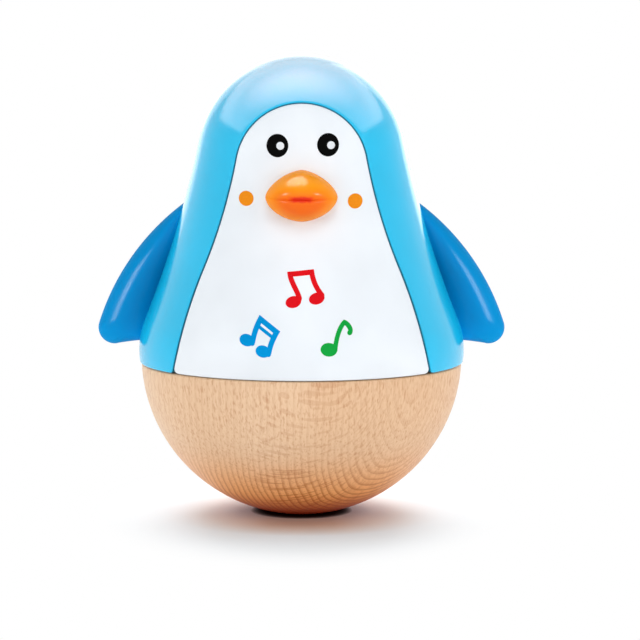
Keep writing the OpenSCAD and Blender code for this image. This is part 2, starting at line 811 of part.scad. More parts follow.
// The left wing: its form seated on the flank, with two locating pins and the screw's hole
module wing() {
    difference() {
        union() {
            difference() {
                translate([0, wing_back, 0]) wing_form();
                body_form(-set_fit / 2);
            }
            wing_pin_places()
                translate([-wall - wing_pin_in, 0, 0])
                    along_x(wing_pin_d, wall + wing_pin_in + wing_pin_out);
        }
        translate([body_at(wing_screw_z) - cut, wing_back, wing_screw_z])
            along_x(small_screw_d + 2 * set_fit, small_screw_bite + cut);
    }
}

module wing_left() { color("#0A8BD2") wing(); }
module wing_right() { color("#0A8BD2") mirror([1, 0, 0]) wing(); }

module wing_screws() {
    wall_x = wall + wing_boss_len;
    color("#B9BCBE")
        wing_places()
            translate([-wall_x - small_head_h, 0, 0]) rotate([0, -90, 0])
                pan_head(small_screw_d, small_head_d, small_head_h, wall_x + small_screw_bite - set_fit);
}

wooden_base();
ballast_weight();
ballast_screw();
deck_plate();
deck_screws();
bridge();
bridge_screws();
tone_block();
tone_block_screws();
tone_pin(1);  // tone_pin_1
tone_pin(2);  // tone_pin_2
tone_pin(3);  // tone_pin_3
tone_pin(4);  // tone_pin_4
tone_pin(5);  // tone_pin_5
tone_pin(6);  // tone_pin_6
tone_pin(7);  // tone_pin_7
tone_pin(8);  // tone_pin_8
link_pin();
swing_link();
clapper_pin();
clapper_stem();
clapper_ball();
back_shell();
face_shell();
beak();
beak_screw();
wing_left();
wing_right();
wing_screws();
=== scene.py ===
"""Roly-poly penguin chime toy: the looks of its pieces, built round the packed CAD frame.

The visible mouldings, the turned base and the printed marks are surfaces worked out from the
toy's driving sizes. The chime inside keeps the CAD shapes and takes materials only.
"""

import json
import math
from functools import partial

import bmesh
import bpy
import numpy as np
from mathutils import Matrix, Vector
from bpy.props import FloatProperty, FloatVectorProperty, PointerProperty

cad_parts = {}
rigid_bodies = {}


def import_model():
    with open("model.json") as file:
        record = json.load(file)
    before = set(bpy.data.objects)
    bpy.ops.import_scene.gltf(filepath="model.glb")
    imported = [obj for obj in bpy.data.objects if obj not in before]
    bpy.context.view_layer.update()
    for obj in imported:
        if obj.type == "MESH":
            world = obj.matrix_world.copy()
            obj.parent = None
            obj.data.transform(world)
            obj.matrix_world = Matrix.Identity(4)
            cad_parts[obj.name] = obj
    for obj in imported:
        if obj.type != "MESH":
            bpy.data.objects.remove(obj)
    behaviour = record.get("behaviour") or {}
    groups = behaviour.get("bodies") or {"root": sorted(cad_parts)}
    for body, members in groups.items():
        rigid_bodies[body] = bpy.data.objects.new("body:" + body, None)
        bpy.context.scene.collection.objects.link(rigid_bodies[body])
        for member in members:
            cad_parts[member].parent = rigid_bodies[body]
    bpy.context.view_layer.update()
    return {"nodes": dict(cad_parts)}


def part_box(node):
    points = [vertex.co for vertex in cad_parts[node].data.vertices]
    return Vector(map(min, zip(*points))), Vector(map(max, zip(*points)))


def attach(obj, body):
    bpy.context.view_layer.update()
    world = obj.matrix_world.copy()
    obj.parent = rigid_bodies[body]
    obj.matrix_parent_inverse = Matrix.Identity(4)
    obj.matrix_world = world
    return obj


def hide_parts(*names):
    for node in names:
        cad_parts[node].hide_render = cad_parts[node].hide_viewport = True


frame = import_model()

bl_info = {
    "name": "Roly-poly penguin chime",
    "version": (1, 0, 0),
    "blender": (4, 5, 0),
    "location": "View3D > Sidebar > Roly-poly",
    "description": "Builds the visible pieces, finishes and stage of a penguin wobbler",
    "category": "Add Mesh",
}

MM = 0.001
# Vertices nearer than this join, in metres
WELD = 1e-8
# Points along each half of the seam's outline
OUTLINE_POINTS = 110
# Share of a rolled edge's radius by which a moulding stops short of its seam
EDGE_SHARE = 0.8
# Settings of nodes that are used often
SMOOTH = {"interpolation_type": "SMOOTHSTEP"}
COLOUR = {"data_type": "RGBA"}


def linear(code):
    """Scene-linear red, green and blue of an sRGB hex colour."""
    parts = [int(code[i:i + 2], 16) / 255 for i in (1, 3, 5)]
    return tuple(p / 12.92 if p <= 0.04045 else ((p + 0.055) / 1.055) ** 2.4 for p in parts)


def length(name, millimetres, description):
    """A length property, shown in the scene's units."""
    return FloatProperty(name=name, description=description, default=millimetres * MM,
                         min=0.0, unit="LENGTH")


def colour(name, code, description):
    """A colour property from an sRGB hex colour."""
    return FloatVectorProperty(name=name, description=description, default=linear(code),
                               subtype="COLOR", size=3, min=0.0, max=1.0)


class ToyForm(bpy.types.PropertyGroup):
    """Driving sizes of the body and base"""

    base_radius: length("Base radius", 40.25, "Radius of the turned ball that the base is cut from")
    flat_radius: length("Flat radius", 6, "Radius of the small flat that the toy rests on")
    rim_height: length("Rim height", 38, "Height of the base's flat top")
    rim_ease: length("Rim ease", 0.6, "Width of the eased edge round the base's top")
    deck_radius: length("Deck radius", 33.1, "Radius of the recess for the deck plate")
    deck_depth: length("Deck depth", 3, "Depth of the recess for the deck plate")
    well_radius: length("Well radius", 18.1, "Radius of the ballast's well")
    well_height: length("Well height", 9, "Height of the floor of the ballast's well")
    crown_height: length("Crown height", 115, "Height of the crown of the head")
    head_radius: length("Head radius", 26.1, "Radius of the round head")
    waist_radius: length("Waist radius", 270, "Radius of the hollow curve of the flanks")
    belly_radius: length("Belly radius", 20, "Radius of the rounded belly in section")
    belly_rise: length("Belly rise", 3.3, "Height of the widest ring above the base's top")
    belly_proud: length("Belly proud", 0.6, "How far the widest ring stands out past the ball")
    wall: length("Wall", 2.3, "Wall thickness of the two shells")


class ToyPanel(bpy.types.PropertyGroup):
    """Driving sizes of the white panel, its seam and its edges"""

    top_drop: length("Top drop", 11, "How far the panel's top lies below the crown")
    head_radius: length("Head radius", 16.3, "Radius of the round top of the outline")
    waist_radius: length("Waist radius", 133, "Radius of the hollow sides of the outline")
    foot_inset: length("Foot inset", 8.65, "How far the lower corners lie inside the ball's radius")
    foot_radius: length("Foot radius", 125, "Radius of the rounded lower sides of the outline")
    foot_lean: FloatProperty(name="Foot lean", description="Lean of the sides at the base",
                             default=math.radians(10.2), subtype="ANGLE")
    step: length("Step", 0.32, "How far the panel is set back from the hood's surface")
    seam_gap: length("Seam gap", 0.3, "Width of the seam between panel and hood")
    hood_edge: length("Hood edge", 0.4, "Radius of the hood's rounded edge")
    panel_edge: length("Panel edge", 0.35, "Radius of the panel's rounded edge")
    foot_gap: length("Foot gap", 0.15, "Gap between the shells and the base's top")


class ToyFeatures(bpy.types.PropertyGroup):
    """Driving sizes of the beak, the wings and the printed marks"""

    beak_width: length("Beak width", 17.5, "Width of the beak across its corners")
    bill_up: length("Upper bill", 6.5, "Height of the upper bill above the mouth line")
    bill_down: length("Lower bill", 5.9, "Depth of the lower bill below the mouth line")
    beak_length: length("Beak length", 9.5, "How far the beak stands out from the panel")
    mouth_drop: length("Mouth drop", 7.4, "How far the mouth line lies below the head's middle")
    mouth_gap: length("Mouth gap", 0.8, "Width of the mouth groove")
    mouth_depth: length("Mouth depth", 0.8, "Depth of the mouth groove")
    wing_top_rise: length("Wing top", 39.8, "Height of the wing's root above the base's top")
    wing_out: length("Wing reach", 10.42, "How far the wing's tip stands out past the belly")
    wing_tip_rise: length("Wing tip", 8.3, "Height of the rounded tip above the base's top")
    wing_tip_radius: length("Wing tip radius", 4.1, "Radius of the rounded tip")
    wing_edge_radius: length("Wing edge radius", 60.4, "Radius of the wing's long outer edge")
    wing_thickness: length("Wing thickness", 10.4, "Thickness of the wing along its crest")
    wing_back: length("Wing set-back", 3, "How far the wing sits behind the middle of the toy")
    eye_width: length("Eye width", 5.3, "Width of a printed eye")
    eye_height: length("Eye height", 5.6, "Height of a printed eye")
    glint: length("Glint", 1.9, "Diameter of the white glint in an eye")
    cheek: length("Cheek", 3.6, "Diameter of a printed cheek")
    ink: length("Ink", 0.03, "Thickness of the printed ink")


class ToyColours(bpy.types.PropertyGroup):
    """Colours that a user would change"""

    hood: colour("Hood", "#10C2F0", "Hood and back")
    panel: colour("Panel", "#EEF4FA", "White front panel")
    wing: colour("Wing", "#0092D6", "Wings")
    beak: colour("Upper bill", "#FA9A0A", "Upper bill of the beak")
    # The lower bill's tint is painted shade of the bill's underside
    bill: colour("Lower bill", "#EE6814", "Lower bill of the beak")
    # The mouth tint is painted shade, the red of light bounced inside the mouth crease
    mouth: colour("Mouth", "#E02C16", "Paint in the mouth line")
    beech_pale: colour("Beech, pale", "#EACAA8", "Early wood of the beech")
    beech_dark: colour("Beech, dark", "#D29F6E", "Late wood of the beech")
    # The end-grain tint is real and also a painted shade of the ball's underside
    beech_end: colour("Beech, end grain", "#FAA850", "Lacquered end grain towards the foot")
    # The foot tint is a painted contact shade where the ball meets the floor
    beech_contact_shade: colour("Beech, foot", "#A22A08", "Worn lacquer round the foot")
    cheek: colour("Cheek", "#F7941E", "Printed cheeks")
    eye: colour("Eye", "#060606", "Printed eyes")
    note_red: colour("Red note", "#E2161F", "Upper notes")
    note_blue: colour("Blue note", "#0496DC", "Left notes")
    note_green: colour("Green note", "#18A642", "Right note")


class Bell:
    """Half outline of three arcs that run into each other: round head, hollow waist, rounded foot."""

    def __init__(self, head, head_r, waist_r, foot, foot_r):
        self.head, self.foot = np.array(head), np.array(foot)
        self.head_r, self.waist_r, self.foot_r = head_r, waist_r, foot_r
        line = self.foot - self.head
        gap = np.hypot(*line)
        along = line / gap
        near, far = head_r + waist_r, foot_r + waist_r
        step = (gap ** 2 + near ** 2 - far ** 2) / (2 * gap)
        across = np.array([-along[1], along[0]])
        self.waist = self.head + along * step + across * math.sqrt(near ** 2 - step ** 2)
        self.head_turn = math.atan2(*(self.waist - self.head)[::-1])
        self.foot_turn = math.atan2(*(self.waist - self.foot)[::-1])
        self.top = self.head[1] + head_r * math.sin(self.head_turn)
        self.low = self.foot[1] + foot_r * math.sin(self.foot_turn)

    def pick(self, z, on_head, on_waist, on_foot):
        """The value that belongs to the arc at height z."""
        return np.where(z > self.top, on_head, np.where(z > self.low, on_waist, on_foot))

    def arcs(self, inset):
        """Middle, radius and bulge, out or in, of the three arcs of the outline moved inwards by inset."""
        return ((self.head, self.head_r - inset, 1), (self.waist, self.waist_r + inset, -1),
                (self.foot, self.foot_r - inset, 1))

    def half(self, z, inset=0.0):
        """Half width at height z of the outline moved inwards by inset."""
        z = np.asarray(z, float)
        return self.pick(z, *(middle[0] + bulge * np.sqrt(np.maximum(radius ** 2 - (z - middle[1]) ** 2, 0))
                              for middle, radius, bulge in self.arcs(inset)))

    def normal(self, z, inset=0.0):
        """Outward normal at height z, as its share across and its share upwards."""
        z = np.asarray(z, float)
        at = (self.half(z, inset), z)
        return [self.pick(z, *(bulge * (at[axis] - middle[axis]) / radius
                               for middle, radius, bulge in self.arcs(inset))) for axis in (0, 1)]

    def side(self, inset, foot_z, count):
        """Evenly spaced points of the outline, moved inwards by inset, from foot_z up to the top."""
        foot_r = self.foot_r - inset
        start = math.asin((foot_z - self.foot[1]) / foot_r)
        runs = [(self.foot, foot_r, start, self.foot_turn),
                (self.waist, self.waist_r + inset, math.pi + self.foot_turn, math.pi + self.head_turn),
                (self.head, self.head_r - inset, self.head_turn, math.pi / 2)]
        points = []
        for centre, radius, first, last in runs:
            turn = np.linspace(first, last, 400)
            points.append(centre + radius * np.stack([np.cos(turn), np.sin(turn)], 1))
        return even(np.concatenate(points), count)


def even(points, count):
    """Points spaced evenly along a polyline."""
    steps = np.hypot(*np.diff(points, axis=0).T)
    run = np.concatenate([[0], np.cumsum(steps)])
    at = np.linspace(0, run[-1], count)
    return np.stack([np.interp(at, run, points[:, k]) for k in range(points.shape[1])], 1)


def body_bell(form):
    """Section of the body, from the crown to the base's top."""
    widest = form.base_radius + form.belly_proud
    return Bell((0, form.crown_height - form.head_radius), form.head_radius, form.waist_radius,
                (widest - form.belly_radius, form.rim_height + form.belly_rise), form.belly_radius)


def panel_bell(form, panel):
    """Outline of the white panel, seen from the front."""
    top = form.crown_height - panel.top_drop
    foot_x = form.base_radius - panel.foot_inset - panel.foot_radius * math.cos(panel.foot_lean)
    foot_z = form.rim_height - panel.foot_radius * math.sin(panel.foot_lean)
    return Bell((0, top - panel.head_radius), panel.head_radius, panel.waist_radius,
                (foot_x, foot_z), panel.foot_radius)


def on_body(body, azimuth, z, inset=0.0):
    """Points and normals of the body of revolution, at an azimuth turned from the back."""
    r = body.half(z, inset)
    across, up = body.normal(z, inset)
    point = np.stack([r * np.sin(azimuth), r * np.cos(azimuth), z + 0 * azimuth], -1)
    normal = np.stack([across * np.sin(azimuth), across * np.cos(azimuth), up + 0 * azimuth], -1)
    return point, normal


def on_front(body, x, z, inset=0.0):
    """Points and normals on the front of the body that appear at x and z seen from the front."""
    r = body.half(z, inset)
    return on_body(body, math.pi - np.arcsin(np.clip(x / np.maximum(r, 1e-9), -1, 1)), z, inset)


def grid_quads(rows, cols, first=0, cyclic=False):
    """Quads of a grid of vertices numbered row by row."""
    r, c = np.meshgrid(np.arange(rows - 1), np.arange(cols if cyclic else cols - 1), indexing="ij")
    a = r * cols + c
    b = r * cols + (c + 1) % cols
    return first + np.stack([a, b, b + cols, a + cols], -1).reshape(-1, 4)


def weld(points, quads):
    """Joins vertices at one place and drops the corners and faces that this empties.

    A quad with one doubled corner becomes a triangle, and one with more is dropped.
    """
    keys = np.round(points / WELD).astype(np.int64)
    keep, place = np.unique(keys, axis=0, return_index=True, return_inverse=True)[1:]
    quads = place.reshape(-1)[quads]
    fresh = quads != np.roll(quads, 1, axis=1)
    corners = fresh.sum(1)
    folded = (quads[:, 0] == quads[:, 2]) | (quads[:, 1] == quads[:, 3])
    whole = quads[(corners == 4) & ~folded]
    cut = corners == 3
    triangles = quads[cut][fresh[cut]].reshape(-1, 3)
    return keep, whole.tolist() + triangles.tolist()


def make_piece(name, points, faces, material, seam=None, sharp=math.radians(40)):
    """A smooth-shaded mesh object at the origin from points in metres, with its faces outward.

    Seam is a share at each point of painted shade, in a seam or at a root; the material reads it.
    """
    points = np.asarray(points, float).reshape(-1, 3)
    keep, faces = weld(points, np.asarray(faces))
    points = points[keep]
    mesh = bpy.data.meshes.new(name)
    mesh.from_pydata(points.tolist(), [], faces)
    work = bmesh.new()
    work.from_mesh(mesh)
    bmesh.ops.recalc_face_normals(work, faces=work.faces)
    work.to_mesh(mesh)
    work.free()
    mesh.polygons.foreach_set("use_smooth", np.ones(len(mesh.polygons), bool))
    mesh.set_sharp_from_angle(angle=sharp)
    mesh.materials.append(material)
    if seam is not None:
        mesh.attributes.new("seam", "FLOAT", "POINT").data.foreach_set("value", seam[keep])
    mesh.update()
    piece = bpy.data.objects.new(name, mesh)
    bpy.context.scene.collection.objects.link(piece)
    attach(piece, "toy")
    return piece


def lathe(profile, sides):
    """Surface of revolution about Z: each profile point (radius, height) swept round a circle."""
    turn = np.linspace(0, 2 * math.pi, sides, endpoint=False)
    r, z = profile[:, :1], profile[:, 1:]
    points = np.stack([r * np.cos(turn), r * np.sin(turn), z + 0 * turn], -1)
    return points.reshape(-1, 3), grid_quads(len(profile), sides, cyclic=True)


def rolled_edge(loop, normal, wall, radius, steps=6):
    """Rows from a surface's closed rim loop, over a quarter round, to the rim of its inner side.

    A row is the rim moved by radius * (normal * (cos t - 1) + outward * sin t), t from 0 to 90 degrees.
    Outward is the tangent of the loop turned a quarter turn about the surface's normal.
    """
    tangent = np.roll(loop, -1, 0) - np.roll(loop, 1, 0)
    tangent /= np.linalg.norm(tangent, axis=1, keepdims=True)
    outward = np.cross(tangent, normal)
    if outward[np.argmin(loop[:, 2])][2] > 0:
        outward = -outward
    t = np.linspace(0, math.pi / 2, steps + 1)[:, None, None]
    rolled = loop + radius * (normal * (np.cos(t) - 1) + outward * np.sin(t))
    inside = [loop + radius * outward - wall * normal, loop - wall * normal]
    return np.concatenate([rolled, inside])


def shell(outer, normal, quads, rim, wall, radius, dark_from):
    """A closed moulding: a surface, its inner side one wall below, and a rolled edge round its rim.

    The seam's share of painted shade rises from 0 to 1 over two rows of the edge, from row dark_from on.
    """
    inner = outer - wall * normal
    rows = rolled_edge(outer[rim], normal[rim], wall, radius)
    count = len(outer)
    points = np.concatenate([outer, inner, rows.reshape(-1, 3)])
    edge = grid_quads(len(rows), len(rim), first=2 * count, cyclic=True)
    seam_shade = np.clip((np.arange(len(rows)) - dark_from) / 2, 0, 1)
    seam = np.concatenate([np.zeros(2 * count), np.repeat(seam_shade, len(rim))])
    return points, np.concatenate([quads, quads[:, ::-1] + count, edge]), seam


def corner_arc(at, radius, first, last, steps=7):
    """Points of a corner round about a centre, between two angles in degrees."""
    turn = np.radians(np.linspace(first, last, steps))
    return np.array(at) + radius * np.stack([np.cos(turn), np.sin(turn)], 1)


def rim_side(form, panel, edge, corner_edges, way):
    """Right half of a moulding's rim seen from the front, from the foot round its corner to the top.

    It runs alongside the seam, outside it where way is 1 and inside it where way is -1.
    """
    off_seam = panel.seam_gap / 2 + EDGE_SHARE * edge
    radius = corner_edges * edge
    low = form.rim_height + panel.foot_gap + edge
    side = panel_bell(form, panel).side(-way * off_seam, low + radius, OUTLINE_POINTS)
    corner = corner_arc(side[0] + [way * radius, 0], radius, 270, 270 - way * 90)
    return np.concatenate([corner[:-1], side])


def hood_surface(form, panel):
    """The hood: rows round the body at one height, from one side of the seam to the other.

    A point is (r sin a, r cos a, z), with r the body's half width at z. The angle a is turned from the
    back and runs evenly between the two at which the seam crosses that height. Above the panel's top
    a row is a whole ring, up to the crown.
    """
    row_points, crown_rows, corner_edges, dark_row = 161, 24, 1.2, 3
    body = body_bell(form)
    side = rim_side(form, panel, panel.hood_edge, corner_edges, 1)
    azimuth = math.pi - np.arcsin(np.clip(side[:, 0] / body.half(side[:, 1]), -1, 1))
    azimuth[-1] = math.pi
    last = len(side) - 1
    first_lean = math.asin((side[-1, 1] - body.head[1]) / body.head_r)
    lean = np.linspace(first_lean, math.pi / 2, crown_rows)[1:]
    z = np.concatenate([side[:, 1], body.head[1] + body.head_r * np.sin(lean)])
    azimuth = np.concatenate([azimuth, np.full(len(lean), math.pi)])
    share = np.linspace(-1, 1, row_points)
    points, normal = on_body(body, azimuth[:, None] * share, z[:, None] + 0 * share)
    rows, cols = points.shape[:2]
    number = np.arange(rows * cols).reshape(rows, cols)
    rim = np.concatenate([number[0], number[1:last + 1, -1], number[last - 1:0:-1, 0]])
    return shell(points.reshape(-1, 3), normal.reshape(-1, 3), grid_quads(rows, cols),
                 rim, form.wall, panel.hood_edge, dark_row)


def panel_surface(form, panel, pole_z):
    """The white panel: rays from a pole under the beak to the rim line, laid on the body's front.

    A point is pole + share * (rim - pole) in x and z. Its depth is y = -sqrt(r ^ 2 - x ^ 2), with r
    the half width at z of the body moved inwards by the step.
    """
    foot_points, ray_points, corner_edges, dark_row = 61, 61, 2.2, 5
    body = body_bell(form)
    right = rim_side(form, panel, panel.panel_edge, corner_edges, -1)
    left = right[::-1][1:] * [-1, 1]
    foot = np.linspace(left[-1], right[0], foot_points)
    rim_line = np.concatenate([foot[1:-1], right, left])
    share = np.linspace(0, 1, ray_points)[:, None, None]
    pole = np.array([0, pole_z])
    flat = pole + share * (rim_line - pole)
    points, normal = on_front(body, flat[..., 0], flat[..., 1], panel.step)
    rows, cols = points.shape[:2]
    rim = np.arange((rows - 1) * cols, rows * cols)
    return shell(points.reshape(-1, 3), normal.reshape(-1, 3), grid_quads(rows, cols, cyclic=True),
                 rim, form.wall - panel.step, panel.panel_edge, dark_row)


def base_profile(form):
    """Closed profile of the turned base: flat, ball, eased rim, deck recess and ballast well.

    A point of the ball is (R cos t, m + R sin t). Its middle lies at m = sqrt(R ^ 2 - f ^ 2), so that
    it meets the floor at the flat's radius f.
    """
    middle = math.sqrt(form.base_radius ** 2 - form.flat_radius ** 2)
    ease = form.rim_ease
    start = math.asin(-middle / form.base_radius)
    stop = math.asin((form.rim_height - ease - middle) / form.base_radius)
    turn = np.linspace(start, stop, 90)
    ball = np.stack([form.base_radius * np.cos(turn), middle + form.base_radius * np.sin(turn)], 1)
    t = np.linspace(0, math.pi / 2, 7)[1:]
    ease_line = np.stack([ball[-1, 0] - ease * (1 - np.cos(t)),
                          form.rim_height - ease * (1 - np.sin(t))], 1)
    floor = form.rim_height - form.deck_depth
    inside = [(form.deck_radius, form.rim_height), (form.deck_radius, floor), (form.well_radius, floor),
              (form.well_radius, form.well_height), (0, form.well_height)]
    return np.concatenate([[(0, 0)], ball, ease_line, inside])


def mouth_height(form, features):
    """Height of the mouth line, measured down from the middle of the head."""
    return form.crown_height - form.head_radius - features.mouth_drop


def beak_surface(form, panel, features):
    """The beak: level slices, each a half ellipse in plan, drawn in to a crease at the mouth line.

    At height h a slice is w / 2 * (1 - |h / H| ^ n) ^ (1 / n) wide to each side and
    L * sqrt(1 - (h / H) ^ 2) long, with an n of its own for each bill. The crease is a bell curve in h
    that is wide above the mouth, where the upper bill hangs over, and narrow below it. It fades out
    towards the beak's corners.
    """
    upper_power, lower_power, lower_length = 1.55, 1.75, 0.97
    upper_crease, lower_crease, crease_power = 1.3, 0.55, 1.4
    root_depth = 3 * MM
    mouth_z = mouth_height(form, features)
    seat = float(body_bell(form).half(mouth_z, panel.step))
    share = np.sin(np.linspace(-math.pi / 2, math.pi / 2, 121))
    share = np.unique(np.concatenate([share, np.linspace(-0.3, 0.4, 71)]).round(9))
    upper = share > 0
    height = share * np.where(upper, features.bill_up, features.bill_down)
    power = np.where(upper, upper_power, lower_power)
    wide = features.beak_width / 2 * (1 - np.abs(share) ** power) ** (1 / power)
    long = features.beak_length * np.where(upper, 1, lower_length) * np.sqrt(1 - share ** 2)
    reach = np.where(upper, upper_crease, lower_crease) * features.mouth_gap
    crease = features.mouth_depth * np.exp(-np.abs(height / reach) ** crease_power)
    turn = np.linspace(0, math.pi, 97)
    x = wide[:, None] * np.cos(turn)
    y = np.minimum(crease[:, None] * np.sin(turn) ** 3 - long[:, None] * np.sin(turn), 0)
    root = np.full((len(share), 1), root_depth)
    x = np.concatenate([x[:, :1], x, x[:, -1:]], 1)
    y = np.concatenate([root, y, root], 1)
    points = np.stack([x, y - seat, mouth_z + height[:, None] + 0 * x], -1)
    rows, cols = points.shape[:2]
    return points.reshape(-1, 3), grid_quads(rows, cols, cyclic=True)


def wing_outline(form, features):
    """Outline of the left wing from the front, and the root line inside the flank that it grows from.

    The outline is an arc of the edge's radius from the top to the tip, the tip's own round, and a flat
    parabola back to the flank. A point's share of the way is d / (d + e), by its distances d from the
    top and e from the heel, and it gives the height of the point's root.
    """
    first_turn, last_turn = math.radians(1.8), math.radians(-95)
    heel_rise, heel_bow, root_depth = 1.1 * MM, 0.5 * MM, 2.5 * MM
    root_over, root_under = 0.6 * MM, 2.2 * MM
    body = body_bell(form)
    top_z = form.rim_height + features.wing_top_rise
    tip_z = form.rim_height + features.wing_tip_rise
    tip_r, edge_r = features.wing_tip_radius, features.wing_edge_radius
    tip = np.array([form.base_radius + form.belly_proud + features.wing_out - tip_r, tip_z])
    top = np.array([float(body.half(top_z)), top_z])
    line = tip - top
    gap = np.hypot(*line)
    along = line / gap
    step = (gap ** 2 + edge_r ** 2 - (edge_r - tip_r) ** 2) / (2 * gap)
    centre = top + along * step - np.array([-along[1], along[0]]) * math.sqrt(edge_r ** 2 - step ** 2)
    first = math.atan2(*(top - centre)[::-1]) + first_turn
    last = math.atan2(*(tip - centre)[::-1])
    turn = np.linspace(first, last, 80)
    edge = centre + edge_r * np.stack([np.cos(turn), np.sin(turn)], 1)
    turn = np.linspace(last, last_turn, 40)
    end = tip + tip_r * np.stack([np.cos(turn), np.sin(turn)], 1)
    low = tip_z - tip_r
    t = np.linspace(0.1, 1, 20)
    heel_x = (1 - t) * tip[0] + t * (float(body.half(low + heel_rise)) - root_depth)
    heel = np.stack([heel_x, low + heel_rise * t + heel_bow * t * (1 - t)], 1)
    outline = even(np.concatenate([edge, end[1:], heel]), 140)
    from_top = np.hypot(*(outline - outline[0]).T)
    to_heel = np.hypot(*(outline - outline[-1]).T)
    share = from_top / (from_top + to_heel)
    root_top, root_low = top_z + root_over, low + root_under
    z = root_top + (root_low - root_top) * share
    return outline, np.stack([body.half(z) - root_depth, z], 1), share


def wing_section():
    """Half section of a wing from edge to root, as shares of its reach and of its half thickness.

    A quarter round runs from the edge in to the crest, then a parabola thins towards the root.
    """
    crest, thin = 0.56, 0.64
    turn = np.linspace(0, math.pi / 2, 25)
    roll = np.stack([crest + (1 - crest) * np.cos(turn), np.sin(turn)], 1)
    v = np.linspace(0, 1, 17)[1:]
    slope = np.stack([crest * (1 - v), 1 - (1 - thin) * v ** 2], 1)
    rise = np.concatenate([roll, slope])
    return np.concatenate([rise[:0:-1] * [1, -1], rise])


def wing_surface(form, features, side):
    """A wing: from each root point to its outline point, the section scaled to reach and thickness.

    The half thickness is the crest's times sin(pi * u) ^ p, and u grows evenly with the share of the
    way from top to heel. The seam's share is a painted shade that rises towards the root, where the
    wing goes into the flank.
    """
    thick_from, thick_span, thick_power = 0.08, 0.72, 0.7
    dark_from, dark_span, dark_power, darkest = 0.7, 0.55, 1.2, 0.85
    outline, root, share = wing_outline(form, features)
    swell = np.sin(math.pi * (thick_from + thick_span * share)) ** thick_power
    thick = features.wing_thickness / 2 * swell
    section = wing_section()
    flat = root[:, None] + (outline - root)[:, None] * section[None, :, :1]
    y = features.wing_back + thick[:, None] * section[:, 1]
    points = np.stack([side * flat[..., 0], y, flat[..., 1]], -1)
    rows, cols = points.shape[:2]
    count = rows * cols
    faces = [grid_quads(rows, cols, cyclic=True)]
    ring = np.arange(cols)
    for first, middle in ((0, count), (count - cols, count + 1)):
        hub = np.full(cols, middle)
        faces.append(np.stack([first + ring, first + np.roll(ring, -1), hub, hub], 1))
    # Painted shade along the root, deepest halfway down the wing
    seam_shade = np.clip((dark_from - section[:, 0]) / dark_span, 0, 1)
    seam_shade = darkest * seam_shade * np.sin(math.pi * share[:, None]) ** dark_power
    seam = np.concatenate([seam_shade.reshape(-1), [0, 0]])
    hubs = points.mean(1)[[0, -1]]
    return np.concatenate([points.reshape(-1, 3), hubs]), np.concatenate(faces), seam


def print_patch(body, flat, step, ink, lift=1.0, cyclic=False):
    """A printed mark: a flat grid of (x, z) laid on the panel as a film of ink, closed all round."""
    base, normal = on_front(body, flat[..., 0], flat[..., 1], step)
    top = base + ink * lift * normal
    low = base - ink * normal
    rows, cols = flat.shape[:2]
    count = rows * cols
    number = np.arange(count).reshape(rows, cols)
    quads = grid_quads(rows, cols, cyclic=cyclic)
    if cyclic:
        rim = number[-1]
    else:
        rim = np.concatenate([number[0], number[1:, -1], number[-1, -2::-1], number[-2:0:-1, 0]])
    wall = np.stack([rim, np.roll(rim, -1), np.roll(rim, -1) + count, rim + count], 1)
    points = np.concatenate([top.reshape(-1, 3), low.reshape(-1, 3)])
    return points, np.concatenate([quads, quads[:, ::-1] + count, wall])


def disc(centre, half_width, half_height, lean=0.0):
    """Polar grid of an ellipse, leaned anticlockwise by an angle in degrees."""
    turn = np.linspace(0, 2 * math.pi, 48, endpoint=False)
    share = np.linspace(0, 1, 7)[:, None]
    x, z = half_width * share * np.cos(turn), half_height * share * np.sin(turn)
    c, s = math.cos(math.radians(lean)), math.sin(math.radians(lean))
    return np.stack([centre[0] + c * x - s * z, centre[1] + s * x + c * z], -1)


def band(line, widths, steps=5):
    """Grid of a band that follows a polyline with one width or one at each point, mitred at corners.

    At a point the band lies square to the mean of the two runs that meet there, and is wider by one
    over the cosine of half their turn.
    """
    line = np.asarray(line, float)
    runs = np.diff(line, axis=0)
    runs /= np.linalg.norm(runs, axis=1, keepdims=True)
    before, after = np.concatenate([runs[:1], runs]), np.concatenate([runs, runs[-1:]])
    mean = before + after
    mean /= np.linalg.norm(mean, axis=1, keepdims=True)
    across = np.stack([-mean[:, 1], mean[:, 0]], 1)
    widths = np.asarray(widths) / np.sum(mean * after, 1)
    share = np.linspace(-0.5, 0.5, steps)
    return line[:, None] + across[:, None] * (widths[:, None] * share)[..., None]


def smooth_line(points, count=28):
    """A cubic line that runs evenly through a few points."""
    points = np.asarray(points, float)
    at = np.linspace(0, 1, len(points))
    t = np.linspace(0, 1, count)
    return np.stack([np.polyval(np.polyfit(at, points[:, k], 3), t) for k in (0, 1)], 1)


def join(parts):
    """One set of points and faces from several."""
    points, faces, count = [], [], 0
    for p, f in parts:
        points.append(p)
        faces.append(f + count)
        count += len(p)
    return np.concatenate(points), np.concatenate(faces)


def add(tree, kind, inputs=(), out=0, **settings):
    """Adds a shader node with its settings, sets or links its inputs, and gives back one output.

    Inputs go by place or by name, and three numbers for a colour stand for an opaque one.
    """
    node = tree.nodes.new("ShaderNode" + kind)
    for name, value in settings.items():
        setattr(node, name, value)
    for key, value in inputs.items() if isinstance(inputs, dict) else enumerate(inputs):
        socket = node.inputs[key]
        if isinstance(value, bpy.types.NodeSocket):
            tree.links.new(value, socket)
        elif socket.type == "RGBA" and len(value) == 3:
            socket.default_value = (*value, 1.0)
        else:
            socket.default_value = value
    return node.outputs[out] if node.outputs else None


def start_material(name):
    """An empty node material, the function that adds nodes to it, and the piece's own coordinates."""
    material = bpy.data.materials.new(name)
    material.use_nodes = True
    material.node_tree.nodes.clear()
    node = partial(add, material.node_tree)
    return material, node, node("TexCoord", out="Object")


def shaded(tint, share):
    """A tint made darker."""
    return tuple(share * part for part in tint)


